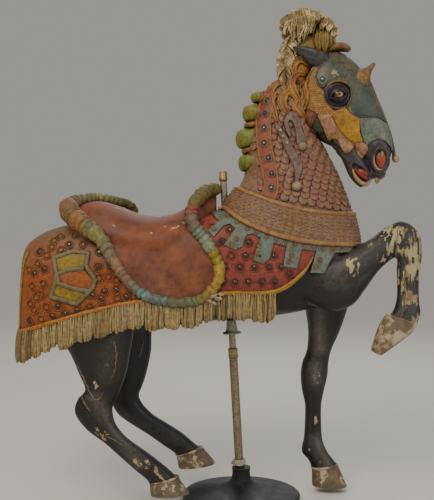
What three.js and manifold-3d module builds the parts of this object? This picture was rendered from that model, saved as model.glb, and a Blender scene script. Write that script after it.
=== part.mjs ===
// Carousel horse, carved in wood in one piece, on its pole and iron foot.
// Millimetres. +X runs towards the horse's head, +Y to its left side, +Z up.
// The origin is the middle of the foot's flat underside.
import * as THREE from 'three';
import { mergeVertices } from 'three/addons/utils/BufferGeometryUtils.js';
import Module from 'manifold-3d';

const wasm = await Module();
wasm.setup();

// Gap that touching pieces keep between them.
const GAP = 0.3;
const NEAR = -1;
const FAR = 1;

// The stand: its pole leans back, so that the horse rears a little.
const POLE_LEAN = THREE.MathUtils.degToRad(3.2);
const POST_RADIUS = 14.5;
const ROD_RADIUS = 11.5;
const POST_TOP = 476;
const FERRULE = { radius: 17, height: 31 };
const FLANGE = { radius: 32, bottom: 556, height: 6 };
const CUP = { bottomRadius: 21, topRadius: 15, height: 40 };
const ROD_TOP = 1076;
const CAP = { radius: 14.5, height: 34 };
const FOOT = { radius: 200, rim: 16, neck: 30, throat: 62, height: 104, socketFloor: 22 };
const FOOT_SKIRT = { steps: 4, topRadius: 50, top: 44, hollow: 1.4 };
const FOOT_RING = { radius: 22, height: 20 };

// The cloth over the back.
const CLOTH_EDGE = 5;
const FRINGE_DROP = 88;
const FRINGE_WALL = 18;
const STRAND_PITCH = 54;
const TUFT_WIDTH = 84;
const PIPING_RADIUS = 7.5;
const ROLL_RADIUS = 17;
const ROLL_RIDGES = 22;

// The jewels and the carved rosettes that hold them.
const BOSS = { radius: 11, height: 4, root: 8, sides: 6 };
const JEWEL = { radius: 6, height: 4.2, sides: 6 };

// The head is turned towards the near side about the top of the neck.
const HEAD_TURN = THREE.MathUtils.degToRad(-9);
const HEAD_PIVOT_X = 190;
const EYE = { x: 328, z: 1360, radius: 21, depth: 12, lid: 5 };
const NOSTRIL = { x: 468, y: 46, z: 1148, radii: [20, 12, 32] };

const COLOURS = {
  wood: 0xa8765a,
  iron: 0x1c1c1d,
  rod: 0xa9a394,
  post: 0x8e8a80,
  pale: 0xcfcabd,
  yellow: 0xc8a640,
  eye: 0x6e3d12,
  jewel: 0x7d8f7c,
};

// Closed solids from points and triangles.

function signedVolume(positions, triangles) {
  const corner = (index) => new THREE.Vector3().fromArray(positions, index * 3);
  let volume = 0;
  for (let i = 0; i < triangles.length; i += 3) {
    const b = corner(triangles[i + 1]);
    volume += corner(triangles[i]).dot(b.cross(corner(triangles[i + 2])));
  }
  return volume / 6;
}

function asSolid(geometry) {
  const bare = new THREE.BufferGeometry();
  bare.setAttribute('position', geometry.getAttribute('position').clone());
  if (geometry.index) bare.setIndex(geometry.index.clone());
  const merged = mergeVertices(bare, 1e-3);
  const positions = new Float32Array(merged.getAttribute('position').array);
  const triangles = [];
  for (let i = 0; i < merged.index.count; i += 3) {
    const [a, b, c] = [0, 1, 2].map((k) => merged.index.getX(i + k));
    if (a !== b && b !== c && c !== a) triangles.push(a, b, c);
  }
  const outwards = signedVolume(positions, triangles) > 0;
  if (!outwards) triangles.reverse();
  const triVerts = new Uint32Array(triangles);
  return new wasm.Manifold(new wasm.Mesh({ numProp: 3, vertProperties: positions, triVerts }));
}

function asGeometry(solid) {
  const mesh = solid.getMesh();
  const geometry = new THREE.BufferGeometry();
  geometry.setAttribute('position', new THREE.Float32BufferAttribute(mesh.vertProperties, 3));
  geometry.setIndex([...mesh.triVerts]);
  geometry.computeVertexNormals();
  return geometry;
}

function joined(solids) {
  return solids.reduce((whole, next) => whole.add(next));
}

// The body itself, without the slivers of air that meeting carvings close in.
function outerBody(solid) {
  return solid.decompose().reduce((whole, next) => (next.volume() > whole.volume() ? next : whole));
}

function moved(solid, matrix) {
  return asSolid(asGeometry(solid).applyMatrix4(matrix));
}

function solidOf(points, triangles) {
  const geometry = new THREE.BufferGeometry();
  geometry.setAttribute('position', new THREE.Float32BufferAttribute(points.flatMap((p) => p.toArray()), 3));
  geometry.setIndex(triangles);
  return asSolid(geometry);
}

// Skins over a run of rings. A closed run joins its last ring to its first.
function skinned(points, sides, closed = false) {
  const rings = points.length / sides;
  const triangles = [];
  for (let r = 0; r < (closed ? rings : rings - 1); r += 1) {
    for (let s = 0; s < sides; s += 1) {
      const a = r * sides + s;
      const b = r * sides + ((s + 1) % sides);
      const c = ((r + 1) % rings) * sides + s;
      const d = ((r + 1) % rings) * sides + ((s + 1) % sides);
      triangles.push(a, b, d, a, d, c);
    }
  }
  if (closed) return solidOf(points, triangles);
  const all = [...points];
  for (const [start, flip] of [[0, true], [(rings - 1) * sides, false]]) {
    const middle = new THREE.Vector3();
    for (let s = 0; s < sides; s += 1) middle.add(points[start + s]);
    all.push(middle.divideScalar(sides));
    for (let s = 0; s < sides; s += 1) {
      const a = start + s;
      const b = start + ((s + 1) % sides);
      triangles.push(...(flip ? [b, a, all.length - 1] : [a, b, all.length - 1]));
    }
  }
  return solidOf(all, triangles);
}

// Lofts through sections. A section is a straight cut seen from the side, with its two ends,
// its half width across the horse and the place of its middle.

function cut(backX, backZ, frontX, frontZ, half, y = 0) {
  return [backX, backZ, frontX, frontZ, half, y];
}

function upright(x, bottom, top, half, y = 0) {
  return cut(x, bottom, x, top, half, y);
}

function smooth(list, index, part) {
  const pick = (i) => list[Math.min(Math.max(i, 0), list.length - 1)];
  const [p, q, r, s] = [pick(index - 1), pick(index), pick(index + 1), pick(index + 2)];
  return q.map((value, k) => {
    const start = (r[k] - p[k]) / 2;
    const end = (s[k] - value) / 2;
    const bend = 3 * (r[k] - value) - 2 * start - end;
    const twist = 2 * (value - r[k]) + start + end;
    return value + part * (start + part * (bend + part * twist));
  });
}

function sectionAlong(sections, t) {
  const place = t * (sections.length - 1);
  const index = Math.min(Math.floor(place), sections.length - 2);
  return smooth(sections, index, place - index);
}

function sectionAtX(sections, x) {
  let index = sections.findIndex((section, i) => i > 0 && section[0] >= x) - 1;
  if (index < 0) index = sections.length - 2;
  const [low, high] = [sections[index][0], sections[index + 1][0]];
  const section = smooth(sections, index, (x - low) / (high - low));
  section[0] = x;
  section[2] = x;
  return section;
}

function grown([backX, backZ, frontX, frontZ, half, y], by) {
  const length = Math.hypot(frontX - backX, frontZ - backZ);
  const stepX = ((frontX - backX) / length) * by;
  const stepZ = ((frontZ - backZ) / length) * by;
  return [backX - stepX, backZ - stepZ, frontX + stepX, frontZ + stepZ, half + by, y];
}

function ring([backX, backZ, frontX, frontZ, half, y], sides, power) {
  const points = [];
  const squared = (value) => Math.sign(value) * Math.abs(value) ** (2 / power);
  for (let s = 0; s < sides; s += 1) {
    const angle = (2 * Math.PI * (s + 0.5)) / sides;
    const along = (1 + squared(Math.cos(angle))) / 2;
    const x = backX + (frontX - backX) * along;
    const z = backZ + (frontZ - backZ) * along;
    points.push(new THREE.Vector3(x, y + half * squared(Math.sin(angle)), z));
  }
  return points;
}

function loft(sections, rings, sides, power = 2, swell = () => 0) {
  const points = [];
  for (let r = 0; r <= rings; r += 1) {
    points.push(...ring(grown(sectionAlong(sections, r / rings), swell(r)), sides, power));
  }
  return skinned(points, sides);
}

// A loft over evenly spaced upright cuts, for flutes that run down the cloth.
function evenLoft(sections, places, sides, power, swell) {
  const points = [];
  places.forEach((x, r) => {
    points.push(...ring(grown(sectionAtX(sections, x), swell(r)), sides, power));
  });
  return skinned(points, sides);
}

// A tube of changing radius along a smooth path, flattened across the horse.
function tube(path, { rings, sides, radius, flat = 1 }) {
  const curve = new THREE.CatmullRomCurve3(path.map((p) => new THREE.Vector3(...p)), false, 'centripetal');
  const up = new THREE.Vector3(0, 1, 0);
  const points = [];
  for (let r = 0; r <= rings; r += 1) {
    const t = r / rings;
    const middle = curve.getPointAt(t);
    const ahead = curve.getTangentAt(t);
    const across = new THREE.Vector3().crossVectors(ahead, up).normalize();
    const out = new THREE.Vector3().crossVectors(across, ahead).normalize();
    for (let s = 0; s < sides; s += 1) {
      const angle = (2 * Math.PI * s) / sides;
      const point = middle.clone().addScaledVector(across, Math.cos(angle) * radius(t));
      points.push(point.addScaledVector(out, Math.sin(angle) * radius(t) * flat));
    }
  }
  return skinned(points, sides);
}

// A tube whose frame is carried along the path, for a path that turns every way.
function wrappedTube(path, { rings, sides, radius }) {
  const curve = new THREE.CatmullRomCurve3(path.map((p) => new THREE.Vector3(...p)), true, 'centripetal');
  const frames = curve.computeFrenetFrames(rings, true);
  const points = [];
  for (let r = 0; r < rings; r += 1) {
    const middle = curve.getPointAt(r / rings);
    for (let s = 0; s < sides; s += 1) {
      const angle = (2 * Math.PI * s) / sides;
      const size = radius(r / rings, r);
      const point = middle.clone().addScaledVector(frames.normals[r], Math.cos(angle) * size);
      points.push(point.addScaledVector(frames.binormals[r], Math.sin(angle) * size));
    }
  }
  return skinned(points, sides, true);
}

// A side-view outline pushed right across the horse, or over its near half alone.
function prism(outline, reach = 350) {
  const shape = new THREE.Shape(outline.map(([x, z]) => new THREE.Vector2(x, z)));
  const geometry = new THREE.ExtrudeGeometry(shape, { depth: 350 + reach, bevelEnabled: false });
  geometry.rotateX(Math.PI / 2).translate(0, reach, 0);
  return asSolid(geometry);
}

function nearPrism(outline) {
  return prism(outline, 0);
}

function turned(profile, segments) {
  const points = profile.map(([radius, z]) => new THREE.Vector2(radius, z));
  const geometry = new THREE.LatheGeometry(points, segments);
  return asSolid(geometry.rotateX(Math.PI / 2));
}

// The outer face of a solid, found from the side.
class Skin {
  constructor(solid) {
    const mesh = solid.getMesh();
    this.triangles = [];
    for (let i = 0; i < mesh.triVerts.length; i += 3) {
      const corners = [0, 1, 2].map((k) => {
        return new THREE.Vector3().fromArray(mesh.vertProperties, mesh.triVerts[i + k] * mesh.numProp);
      });
      this.triangles.push(new THREE.Triangle(...corners));
    }
  }

  at(x, z, side) {
    let best = null;
    for (const triangle of this.triangles) {
      const { a, b, c } = triangle;
      const area = (b.x - a.x) * (c.z - a.z) - (c.x - a.x) * (b.z - a.z);
      const v = ((x - a.x) * (c.z - a.z) - (c.x - a.x) * (z - a.z)) / area;
      const w = ((b.x - a.x) * (z - a.z) - (x - a.x) * (b.z - a.z)) / area;
      if (!(v >= 0 && w >= 0 && v + w <= 1)) continue;
      const y = a.y + v * (b.y - a.y) + w * (c.y - a.y);
      if (best && y * side <= best.point.y * side) continue;
      best = { point: new THREE.Vector3(x, y, z), normal: triangle.getNormal(new THREE.Vector3()) };
    }
    return best ?? this.rim(x, z, side);
  }

  // Past the outline, the nearest corner stands in.
  rim(x, z, side) {
    const away = (corner) => Math.hypot(corner.x - x, corner.z - z);
    const corners = this.triangles.flatMap(({ a, b, c }) => [a, b, c]);
    const point = corners.reduce((near, corner) => (away(corner) < away(near) ? corner : near));
    return { point: point.clone(), normal: new THREE.Vector3(0, side, 0) };
  }
}

function planCurve(points) {
  const places = points.map(([x, z]) => new THREE.Vector3(x, 0, z));
  const curve = new THREE.CatmullRomCurve3(places, false, 'centripetal');
  return (t) => {
    const point = curve.getPointAt(t);
    return [point.x, point.z];
  };
}

// A raised strip on a skin between two side-view edges; lift(u, v) is its height over the skin.
function strip(skin, side, edgeA, edgeB, steps, across, lift, root = 8) {
  const outer = [];
  const inner = [];
  for (let i = 0; i <= steps; i += 1) {
    const [ax, az] = edgeA(i / steps);
    const [bx, bz] = edgeB(i / steps);
    for (let j = 0; j <= across; j += 1) {
      const v = j / across;
      const { point, normal } = skin.at(ax + (bx - ax) * v, az + (bz - az) * v, side);
      outer.push(point.clone().addScaledVector(normal, lift(i / steps, v)));
      inner.push(point.clone().addScaledVector(normal, -root));
    }
  }
  const wide = across + 1;
  const total = outer.length;
  const triangles = [];
  const quad = (a, b, c, d) => triangles.push(a, b, c, a, c, d);
  for (let i = 0; i < steps; i += 1) {
    for (let j = 0; j < across; j += 1) {
      const a = i * wide + j;
      quad(a, a + 1, a + wide + 1, a + wide);
      quad(total + a, total + a + wide, total + a + wide + 1, total + a + 1);
    }
    const [low, high] = [i * wide, i * wide + across];
    quad(low, low + wide, total + low + wide, total + low);
    quad(high, total + high, total + high + wide, high + wide);
  }
  for (let j = 0; j < across; j += 1) {
    const end = steps * wide + j;
    quad(j, total + j, total + j + 1, j + 1);
    quad(end, end + 1, total + end + 1, total + end);
  }
  return solidOf([...outer, ...inner], triangles);
}

// A strap of even width, rounded across, laid on a skin along a side-view line.
function strap(skin, side, line, width, height, steps, taper = () => 1) {
  const middle = planCurve(line);
  const edge = (sign) => (t) => {
    const [x, z] = middle(t);
    const [x0, z0] = middle(Math.max(t - 0.02, 0));
    const [x1, z1] = middle(Math.min(t + 0.02, 1));
    const length = Math.hypot(x1 - x0, z1 - z0);
    const half = (sign * width * taper(t)) / 2;
    return [x - ((z1 - z0) / length) * half, z + ((x1 - x0) / length) * half];
  };
  const lift = (u, v) => height * (0.35 + 2.6 * v * (1 - v));
  return strip(skin, side, edge(-1), edge(1), steps, 2, lift);
}

// Placed on a skin at a side-view spot, along its normal.
function onSkin(skin, side, x, z, solid, raise = 0) {
  const { point, normal } = skin.at(x, z, side);
  const turn = new THREE.Quaternion().setFromUnitVectors(new THREE.Vector3(0, 0, 1), normal);
  const place = point.clone().addScaledVector(normal, raise);
  return moved(solid, new THREE.Matrix4().compose(place, turn, new THREE.Vector3(1, 1, 1)));
}

function ball(x, y, z, radius, columns = 8, rows = 6) {
  return asSolid(new THREE.SphereGeometry(radius, columns, rows).translate(x, y, z));
}

// The bare body and the cloth, as upright cuts from the rump to the chest.

const BODY = [
  upright(-700, 640, 850, 90),
  upright(-640, 590, 890, 130),
  upright(-520, 585, 915, 150),
  upright(-380, 605, 925, 154),
  upright(-200, 600, 930, 155),
  upright(-30, 604, 955, 153),
  upright(110, 618, 975, 148),
  upright(220, 638, 960, 140),
  upright(310, 672, 935, 122),
  upright(370, 725, 905, 92),
  upright(397, 790, 860, 42),
];

const CLOTH = [
  upright(-734, 440, 802, 74),
  upright(-725, 428, 842, 108),
  upright(-700, 420, 872, 140),
  upright(-640, 420, 905, 160),
  upright(-540, 440, 929, 168),
  upright(-400, 480, 938, 169),
  upright(-250, 510, 945, 168),
  upright(-100, 540, 965, 166),
  upright(20, 560, 985, 161),
  upright(120, 575, 990, 154),
  upright(220, 590, 975, 144),
  upright(300, 610, 950, 130),
  upright(360, 650, 920, 108),
  upright(393, 720, 890, 68),
];
const CLOTH_POWER = 2.9;

// The lower edge of the cloth, from the rump to the shoulder.
const HEM = [
  [-716, 577],
  [-588, 619],
  [-459, 655],
  [-330, 680],
  [-201, 686],
  [-66, 705],
  [80, 707],
  [140, 726],
  [200, 776],
  [230, 826],
];
const FRINGE_END_X = 104;
const HEM_STEPS = 10;

function hemPoints(steps) {
  const hem = planCurve(HEM);
  return Array.from({ length: steps + 1 }, (_, i) => hem(i / steps));
}

function hemZ(x) {
  const hem = hemPoints(60);
  const after = Math.max(1, hem.findIndex(([hemX]) => hemX > x));
  const [[x0, z0], [x1, z1]] = [hem[after - 1], hem[after]];
  return z0 + ((z1 - z0) * (x - x0)) / (x1 - x0);
}

function clothLoft(by, rings = 14, sides = 14) {
  const [rear, ...rest] = CLOTH;
  const sections = [upright(rear[0] - by, rear[1], rear[3], rear[4]), ...rest];
  return loft(sections, rings, sides, CLOTH_POWER, () => by);
}

function cloth() {
  const [frontX] = HEM[HEM.length - 1];
  const front = frontX + 34;
  const above = [[-900, HEM[0][1]], ...hemPoints(HEM_STEPS), [front, 864], [front, 1300], [-900, 1300]];
  return clothLoft(CLOTH_EDGE).intersect(prism(above));
}

// Tufts of strands hang below the edge of the cloth, round both sides and the rump.
function fringe() {
  const places = [-744];
  for (let x = -736; x < FRINGE_END_X + 40; x += STRAND_PITCH / 2) places.push(x);
  const flutes = evenLoft(CLOTH, places, 8, CLOTH_POWER, (r) => CLOTH_EDGE - 2 + (r % 2) * 8);
  const hollow = clothLoft(CLOTH_EDGE - FRINGE_WALL, 9, 8);
  const band = [[-900, HEM[0][1] + 6]];
  for (const [x, z] of hemPoints(HEM_STEPS)) {
    if (x < FRINGE_END_X) band.push([x, z + 6]);
  }
  band.push([FRINGE_END_X - 6, hemZ(FRINGE_END_X) + 4]);
  band.push([FRINGE_END_X + 12, hemZ(FRINGE_END_X) - FRINGE_DROP + 12]);
  let tuft = 0;
  for (let x = FRINGE_END_X; x > -738; x -= TUFT_WIDTH) {
    const drop = FRINGE_DROP + 5 * Math.sin(tuft * 2.4);
    const left = Math.max(x - TUFT_WIDTH, -738);
    band.push([x, hemZ(x) - drop], [left + 6, hemZ(left) - drop]);
    tuft += 1;
  }
  band.push([-900, HEM[0][1] - FRINGE_DROP - 6]);
  return flutes.subtract(hollow).intersect(prism(band));
}

// Half-round strands on the rear face, where the flutes of the sides end.
function rearStrands() {
  const strands = [];
  for (let y = -1.5; y <= 1.5; y += 1) {
    const across = y * 1.4 * STRAND_PITCH;
    const top = HEM[0][1] + 4;
    const path = [[-738, across, top], [-740, across, 530], [-735, across, top - FRINGE_DROP]];
    strands.push(tube(path, { rings: 2, sides: 5, radius: () => 13 }));
  }
  return joined(strands);
}

// The bead along the lower edge of the cloth.
function piping() {
  const edge = hemPoints(HEM_STEPS);
  const upper = edge.map(([x, z]) => [x, z + PIPING_RADIUS]);
  const lower = edge.map(([x, z]) => [x, z - PIPING_RADIUS]).reverse();
  const rear = HEM[0][1];
  const band = [[-900, rear - PIPING_RADIUS], [-900, rear + PIPING_RADIUS], ...upper, ...lower];
  const proud = CLOTH_EDGE + 1.2 * PIPING_RADIUS;
  return clothLoft(proud, 11, 12).intersect(prism(band));
}

// The saddle, its seat and the ribbon-wrapped roll round it.

const ROLL_SIDE = [
  [-119, -62, 1036],
  [-150, -104, 1004],
  [-164, -130, 966],
  [-158, -152, 925],
  [-114, -169, 867],
  [-78, -174, 800],
  [-80, -175, 745],
  [-128, -176, 691],
  [-201, -176, 676],
  [-300, -177, 694],
  [-367, -177, 745],
  [-414, -176, 812],
  [-455, -174, 880],
];
const ROLL_CANTLE = [
  [-500, -165, 918],
  [-552, -124, 956],
  [-574, -68, 984],
  [-548, -8, 1000],
  [-500, 45, 1013],
  [-440, 100, 1009],
  [-384, 148, 985],
  [-392, 172, 930],
];

function rollPath() {
  const far = ROLL_SIDE.slice(0, -1).reverse().map(([x, y, z]) => [x, -y, z]);
  return [[-88, 0, 1046], ...ROLL_SIDE, ...ROLL_CANTLE, ...far];
}

function roll() {
  const rings = 2 * ROLL_RIDGES;
  const bump = (t, middle, reach) => Math.exp(-(((t - middle) / reach) ** 2));
  const rise = (t) => 1 + 0.35 * bump(t, 0.05, 0.07) + 0.85 * bump(t, 0.44, 0.07);
  const radius = (t, r) => ROLL_RADIUS * rise(t) * (r % 2 ? 1.06 : 0.94);
  return wrappedTube(rollPath(), { rings, sides: 7, radius });
}

function saddle() {
  const flap = [...ROLL_SIDE, ...ROLL_CANTLE.slice(0, 4)].map(([x, , z]) => [x, z]);
  const panel = clothLoft(CLOTH_EDGE + 7).intersect(prism([...flap, [-300, 1100], [-100, 1100]]));
  const seat = loft([
    upright(-572, 840, 950, 84, -22),
    upright(-540, 840, 994, 126, -2),
    upright(-480, 840, 1008, 150, 8),
    upright(-410, 840, 992, 162, 8),
    upright(-341, 840, 963, 166),
    upright(-290, 840, 957, 166),
    upright(-240, 840, 962, 162),
    upright(-195, 840, 980, 148),
    upright(-150, 840, 1014, 110),
    upright(-108, 840, 1038, 66),
    upright(-80, 850, 1034, 44),
  ], 9, 10, 2.5);
  return panel.add(seat);
}

// The neck, with rows of overlapping plates, its crest of lobes and the jewelled strap.

const NECK = [
  cut(150, 1425, 290, 1300, 50),
  cut(98, 1392, 262, 1228, 62),
  cut(54, 1320, 283, 1178, 72),
  cut(24, 1240, 303, 1138, 82),
  cut(14, 1160, 328, 1088, 94),
  cut(10, 1090, 352, 1028, 106),
  cut(-20, 1038, 373, 966, 120),
  cut(-76, 960, 391, 890, 131),
  cut(-110, 860, 396, 815, 128),
];
const NECK_ROWS = 7;

function neckLoft(by, rows = NECK_ROWS) {
  return loft(NECK, 2 * rows, 14, 2.2, (r) => by + (r % 2 ? 3 : -1));
}

function crest() {
  const lobes = [[20, 1312, 52, 34], [-2, 1232, 54, 36], [-4, 1150, 56, 32], [2, 1078, 58, 34]];
  const parts = [];
  lobes.forEach(([x, z, half, height], i) => {
    const lean = 18 - 22 * (1 - i / 3);
    const lobe = loft([
      cut(x - 14, z - height + 3, x + 70, z - height + lean, half * 0.55),
      cut(x - 22, z - height * 0.7, x + 74, z - height * 0.7 + lean, half * 0.9),
      cut(x - 25, z, x + 76, z + lean, half),
      cut(x - 18, z + height * 0.75, x + 78, z + height * 0.75 + lean, half * 0.9),
      cut(x - 4, z + height, x + 80, z + height + lean, half * 0.55),
    ], 3, 7, 2.4);
    parts.push(lobe);
  });
  return joined(parts);
}

// The collar runs round the base of the neck, over the chest.
const COLLAR_PROUD = 14;
const BORDER_PROUD = 12;
const COLLAR_TOP = [[-30, 1056], [68, 1013], [150, 987], [222, 972], [299, 964], [440, 962]];
const COLLAR_FOOT = [[-84, 1006], [-8, 946], [68, 910], [150, 884], [222, 871], [299, 864], [440, 858]];

function shoulders(by) {
  return neckLoft(by, 3).add(clothLoft(by, 9, 10));
}

function collar() {
  const top = planCurve(COLLAR_TOP);
  const foot = planCurve(COLLAR_FOOT);
  const along = Array.from({ length: 9 }, (_, i) => i / 8);
  const outline = (low, high) => [
    ...along.map((t) => mix(foot(t), top(t), high)),
    ...along.map((t) => mix(foot(t), top(t), low)).reverse(),
  ];
  return shoulders(COLLAR_PROUD).intersect(prism(outline(0, 1)));
}

function mix(from, to, part) {
  return from.map((value, k) => value + (to[k] - value) * part);
}

// The stepped border under the collar, with hanging tabs.
const BORDER_TABS = [
  { x: -97, foot: 893, width: 30, lean: 6 },
  { x: -32, foot: 845, width: 58, lean: 14 },
  { x: 58, foot: 806, width: 46, lean: 12 },
  { x: 158, foot: 787, width: 46, lean: 8 },
  { x: 244, foot: 771, width: 54, lean: 4 },
];

function border() {
  const foot = planCurve(COLLAR_FOOT);
  const along = Array.from({ length: 9 }, (_, i) => foot(i / 8));
  const band = [...along.map(([x, z]) => [x, z + 10]), ...along.map(([x, z]) => [x - 8, z - 36]).reverse()];
  const parts = [prism(band)];
  for (const { x, foot: low, width, lean } of BORDER_TABS) {
    const half = width / 2;
    parts.push(nearPrism([
      [x - half - lean / 2, low + 12],
      [x - lean, low - 4],
      [x + half - lean, low + 4],
      [x + half + lean, low + 110],
      [x - half + lean, low + 110],
    ]));
  }
  const upper = along.map(([x, z]) => [x, z + 8]).reverse();
  const below = prism([[-140, 700], [460, 700], ...upper, [-140, 1030]]);
  return shoulders(BORDER_PROUD).intersect(joined(parts)).intersect(below);
}

// A plain heater shield hangs askew on each side of the rump.
const SHIELD = { x: -545, z: 758, width: 132, height: 166, rim: 14, tilt: THREE.MathUtils.degToRad(-9) };

function shieldOutline(inset) {
  const half = SHIELD.width / 2 - inset;
  const top = SHIELD.height / 2 - inset;
  const low = -SHIELD.height / 2 + 1.4 * inset;
  const sides = [0, 0.35, 0.7].map((t) => [half * (1 - 0.55 * t * t), top + (low - top) * (0.35 + 0.55 * t)]);
  const right = [[half, top], ...sides];
  const left = right.map(([x, z]) => [-x, z]).reverse();
  return [...right, [0, low], ...left].map(([x, z]) => [
    SHIELD.x + x * Math.cos(SHIELD.tilt) - z * Math.sin(SHIELD.tilt),
    SHIELD.z + x * Math.sin(SHIELD.tilt) + z * Math.cos(SHIELD.tilt),
  ]);
}

function shield() {
  const plate = clothLoft(CLOTH_EDGE + 4).intersect(nearPrism(shieldOutline(0)));
  const rim = nearPrism(shieldOutline(0)).subtract(nearPrism(shieldOutline(SHIELD.rim)));
  return plate.add(clothLoft(CLOTH_EDGE + 8).intersect(rim));
}

// The legs. Each is one loft from the body to the fetlock, and the hoof is a loft of its own.

function leg(sections, hoof, rings) {
  return loft(sections, rings, 8, 2.3).add(loft(hoof, 2, 8, 2.2));
}

function nearHindLeg() {
  const y = -105;
  return leg([
    cut(-655, 690, -340, 690, 58, y),
    cut(-614, 580, -356, 566, 58, y),
    cut(-566, 508, -368, 498, 52, y),
    cut(-536, 440, -381, 433, 44, y),
    cut(-515, 385, -404, 374, 35, y),
    cut(-540, 352, -424, 328, 32, y),
    cut(-548, 308, -420, 288, 33, y),
    cut(-510, 255, -408, 262, 30, y - 1),
    cut(-455, 214, -378, 228, 26, y - 2),
    cut(-400, 166, -330, 194, 24, y - 3),
    cut(-352, 124, -286, 162, 27, y - 4),
    cut(-312, 92, -244, 128, 28, y - 5),
    cut(-300, 72, -212, 98, 31, y - 5),
  ], [
    cut(-304, 84, -210, 106, 33, y - 5),
    cut(-302, 66, -196, 80, 38, y - 5),
    cut(-299, 39, -171, 47, 43, y - 5),
  ], 10);
}

function farHindLeg() {
  const y = 105;
  return leg([
    cut(-630, 680, -296, 680, 58, y),
    cut(-564, 558, -311, 555, 56, y),
    cut(-511, 485, -314, 478, 50, y),
    cut(-466, 400, -335, 386, 42, y),
    cut(-444, 340, -356, 330, 35, y),
    cut(-452, 302, -349, 304, 32, y),
    cut(-428, 258, -334, 284, 32, y),
    cut(-378, 222, -306, 258, 27, y),
    cut(-318, 184, -258, 228, 24, y),
    cut(-270, 150, -208, 196, 26, y),
    cut(-232, 124, -168, 162, 28, y),
    cut(-222, 104, -140, 140, 31, y),
  ], [
    cut(-226, 118, -136, 148, 33, y),
    cut(-222, 98, -114, 122, 37, y),
    cut(-216, 70, -86, 87, 42, y),
  ], 10);
}

function standingForeLeg() {
  const y = 70;
  return leg([
    cut(215, 740, 396, 750, 62, y),
    cut(218, 690, 388, 697, 58, y),
    cut(226, 629, 370, 629, 51, y),
    cut(235, 560, 346, 560, 44, y),
    cut(231, 492, 316, 492, 39, y),
    cut(215, 448, 306, 448, 38, y),
    cut(209, 405, 302, 400, 37, y),
    cut(213, 352, 290, 350, 31, y),
    cut(224, 300, 281, 300, 26, y),
    cut(223, 230, 281, 230, 25, y),
    cut(220, 184, 285, 180, 27, y),
    cut(214, 142, 300, 140, 32, y),
    cut(236, 108, 320, 112, 29, y),
    cut(250, 76, 342, 84, 33, y),
  ], [
    cut(246, 86, 336, 96, 34, y),
    cut(248, 60, 350, 66, 39, y),
    cut(249, 20, 370, 16, 45, y),
  ], 10);
}

function raisedForeLeg() {
  const y = -95;
  return leg([
    cut(150, 712, 155, 800, 26, y + 4),
    cut(215, 668, 222, 820, 50, y + 6),
    cut(296, 640, 300, 826, 60, y + 4),
    cut(363, 662, 352, 846, 57, y),
    cut(404, 712, 396, 864, 51, y),
    cut(446, 770, 434, 888, 43, y),
    cut(484, 806, 474, 918, 37, y),
    cut(506, 818, 528, 938, 35, y),
    cut(512, 806, 580, 902, 34, y),
    cut(510, 778, 592, 832, 31, y),
    cut(511, 738, 583, 750, 27, y),
    cut(510, 684, 583, 680, 26, y),
    cut(498, 642, 588, 634, 31, y),
    cut(474, 622, 574, 594, 30, y),
  ], [
    cut(480, 634, 580, 604, 32, y),
    cut(456, 606, 556, 566, 38, y),
    cut(424, 512, 458, 497, 40, y),
  ], 10);
}

// The head, carved in its armour.

const HEAD = [
  cut(196, 1352, 262, 1474, 56),
  cut(212, 1284, 318, 1504, 70),
  cut(258, 1222, 382, 1478, 75),
  cut(308, 1192, 430, 1436, 67),
  cut(350, 1172, 462, 1378, 56),
  cut(386, 1164, 485, 1304, 49),
  cut(414, 1150, 507, 1238, 48),
  cut(438, 1116, 526, 1168, 45),
  cut(456, 1078, 506, 1096, 34),
];
const JAW = [
  cut(296, 1204, 350, 1232, 48),
  cut(330, 1164, 386, 1188, 42),
  cut(350, 1122, 402, 1142, 35),
  cut(366, 1088, 414, 1106, 31),
  cut(390, 1062, 434, 1078, 27),
  cut(408, 1051, 440, 1062, 18),
];

function headLoft(by, rings = 10) {
  return loft(HEAD, rings, 10, 2.3, () => by);
}

function plates() {
  const chanfron = [
    [300, 1520], [370, 1490], [445, 1440], [485, 1350], [512, 1262], [534, 1160], [516, 1178], [496, 1262],
    [480, 1286], [462, 1292], [398, 1295], [372, 1300], [372, 1408], [330, 1424], [286, 1418],
  ];
  const cheek = [[212, 1466], [276, 1486], [318, 1440], [312, 1290], [268, 1278], [208, 1290], [194, 1366]];
  const side = [[304, 1308], [372, 1312], [398, 1294], [404, 1246], [352, 1206], [300, 1220], [288, 1264]];
  return joined([
    headLoft(6, 7).intersect(prism(chanfron).add(prism(cheek))),
    headLoft(10, 6).intersect(prism(side)),
  ]);
}

function nostril(side) {
  const { x, y, z, radii } = NOSTRIL;
  return asSolid(new THREE.SphereGeometry(1, 8, 4).scale(...radii).translate(x, side * y, z));
}

function ear(side) {
  return tube([
    [286, side * 40, 1462],
    [262, side * 54, 1490],
    [216, side * 58, 1518],
    [168, side * 56, 1536],
  ], { rings: 5, sides: 6, radius: (t) => 4 + 22 * Math.sin(Math.PI * Math.min(t + 0.22, 0.97)), flat: 0.6 });
}

function forelockKnob() {
  return loft([
    cut(304, 1518, 336, 1532, 26),
    cut(312, 1502, 350, 1540, 40),
    cut(330, 1490, 372, 1530, 42),
    cut(348, 1484, 380, 1508, 30),
  ], 4, 8, 2.2);
}

function spike() {
  return tube([[352, 0, 1420], [374, 0, 1436], [420, 0, 1456], [454, 0, 1474]], {
    rings: 4, sides: 6, radius: (t) => 26 * (1 - t) ** 0.9 + 1.5,
  });
}

function noseBell() {
  return ball(520, 0, 1150, 13, 7, 5);
}

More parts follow.
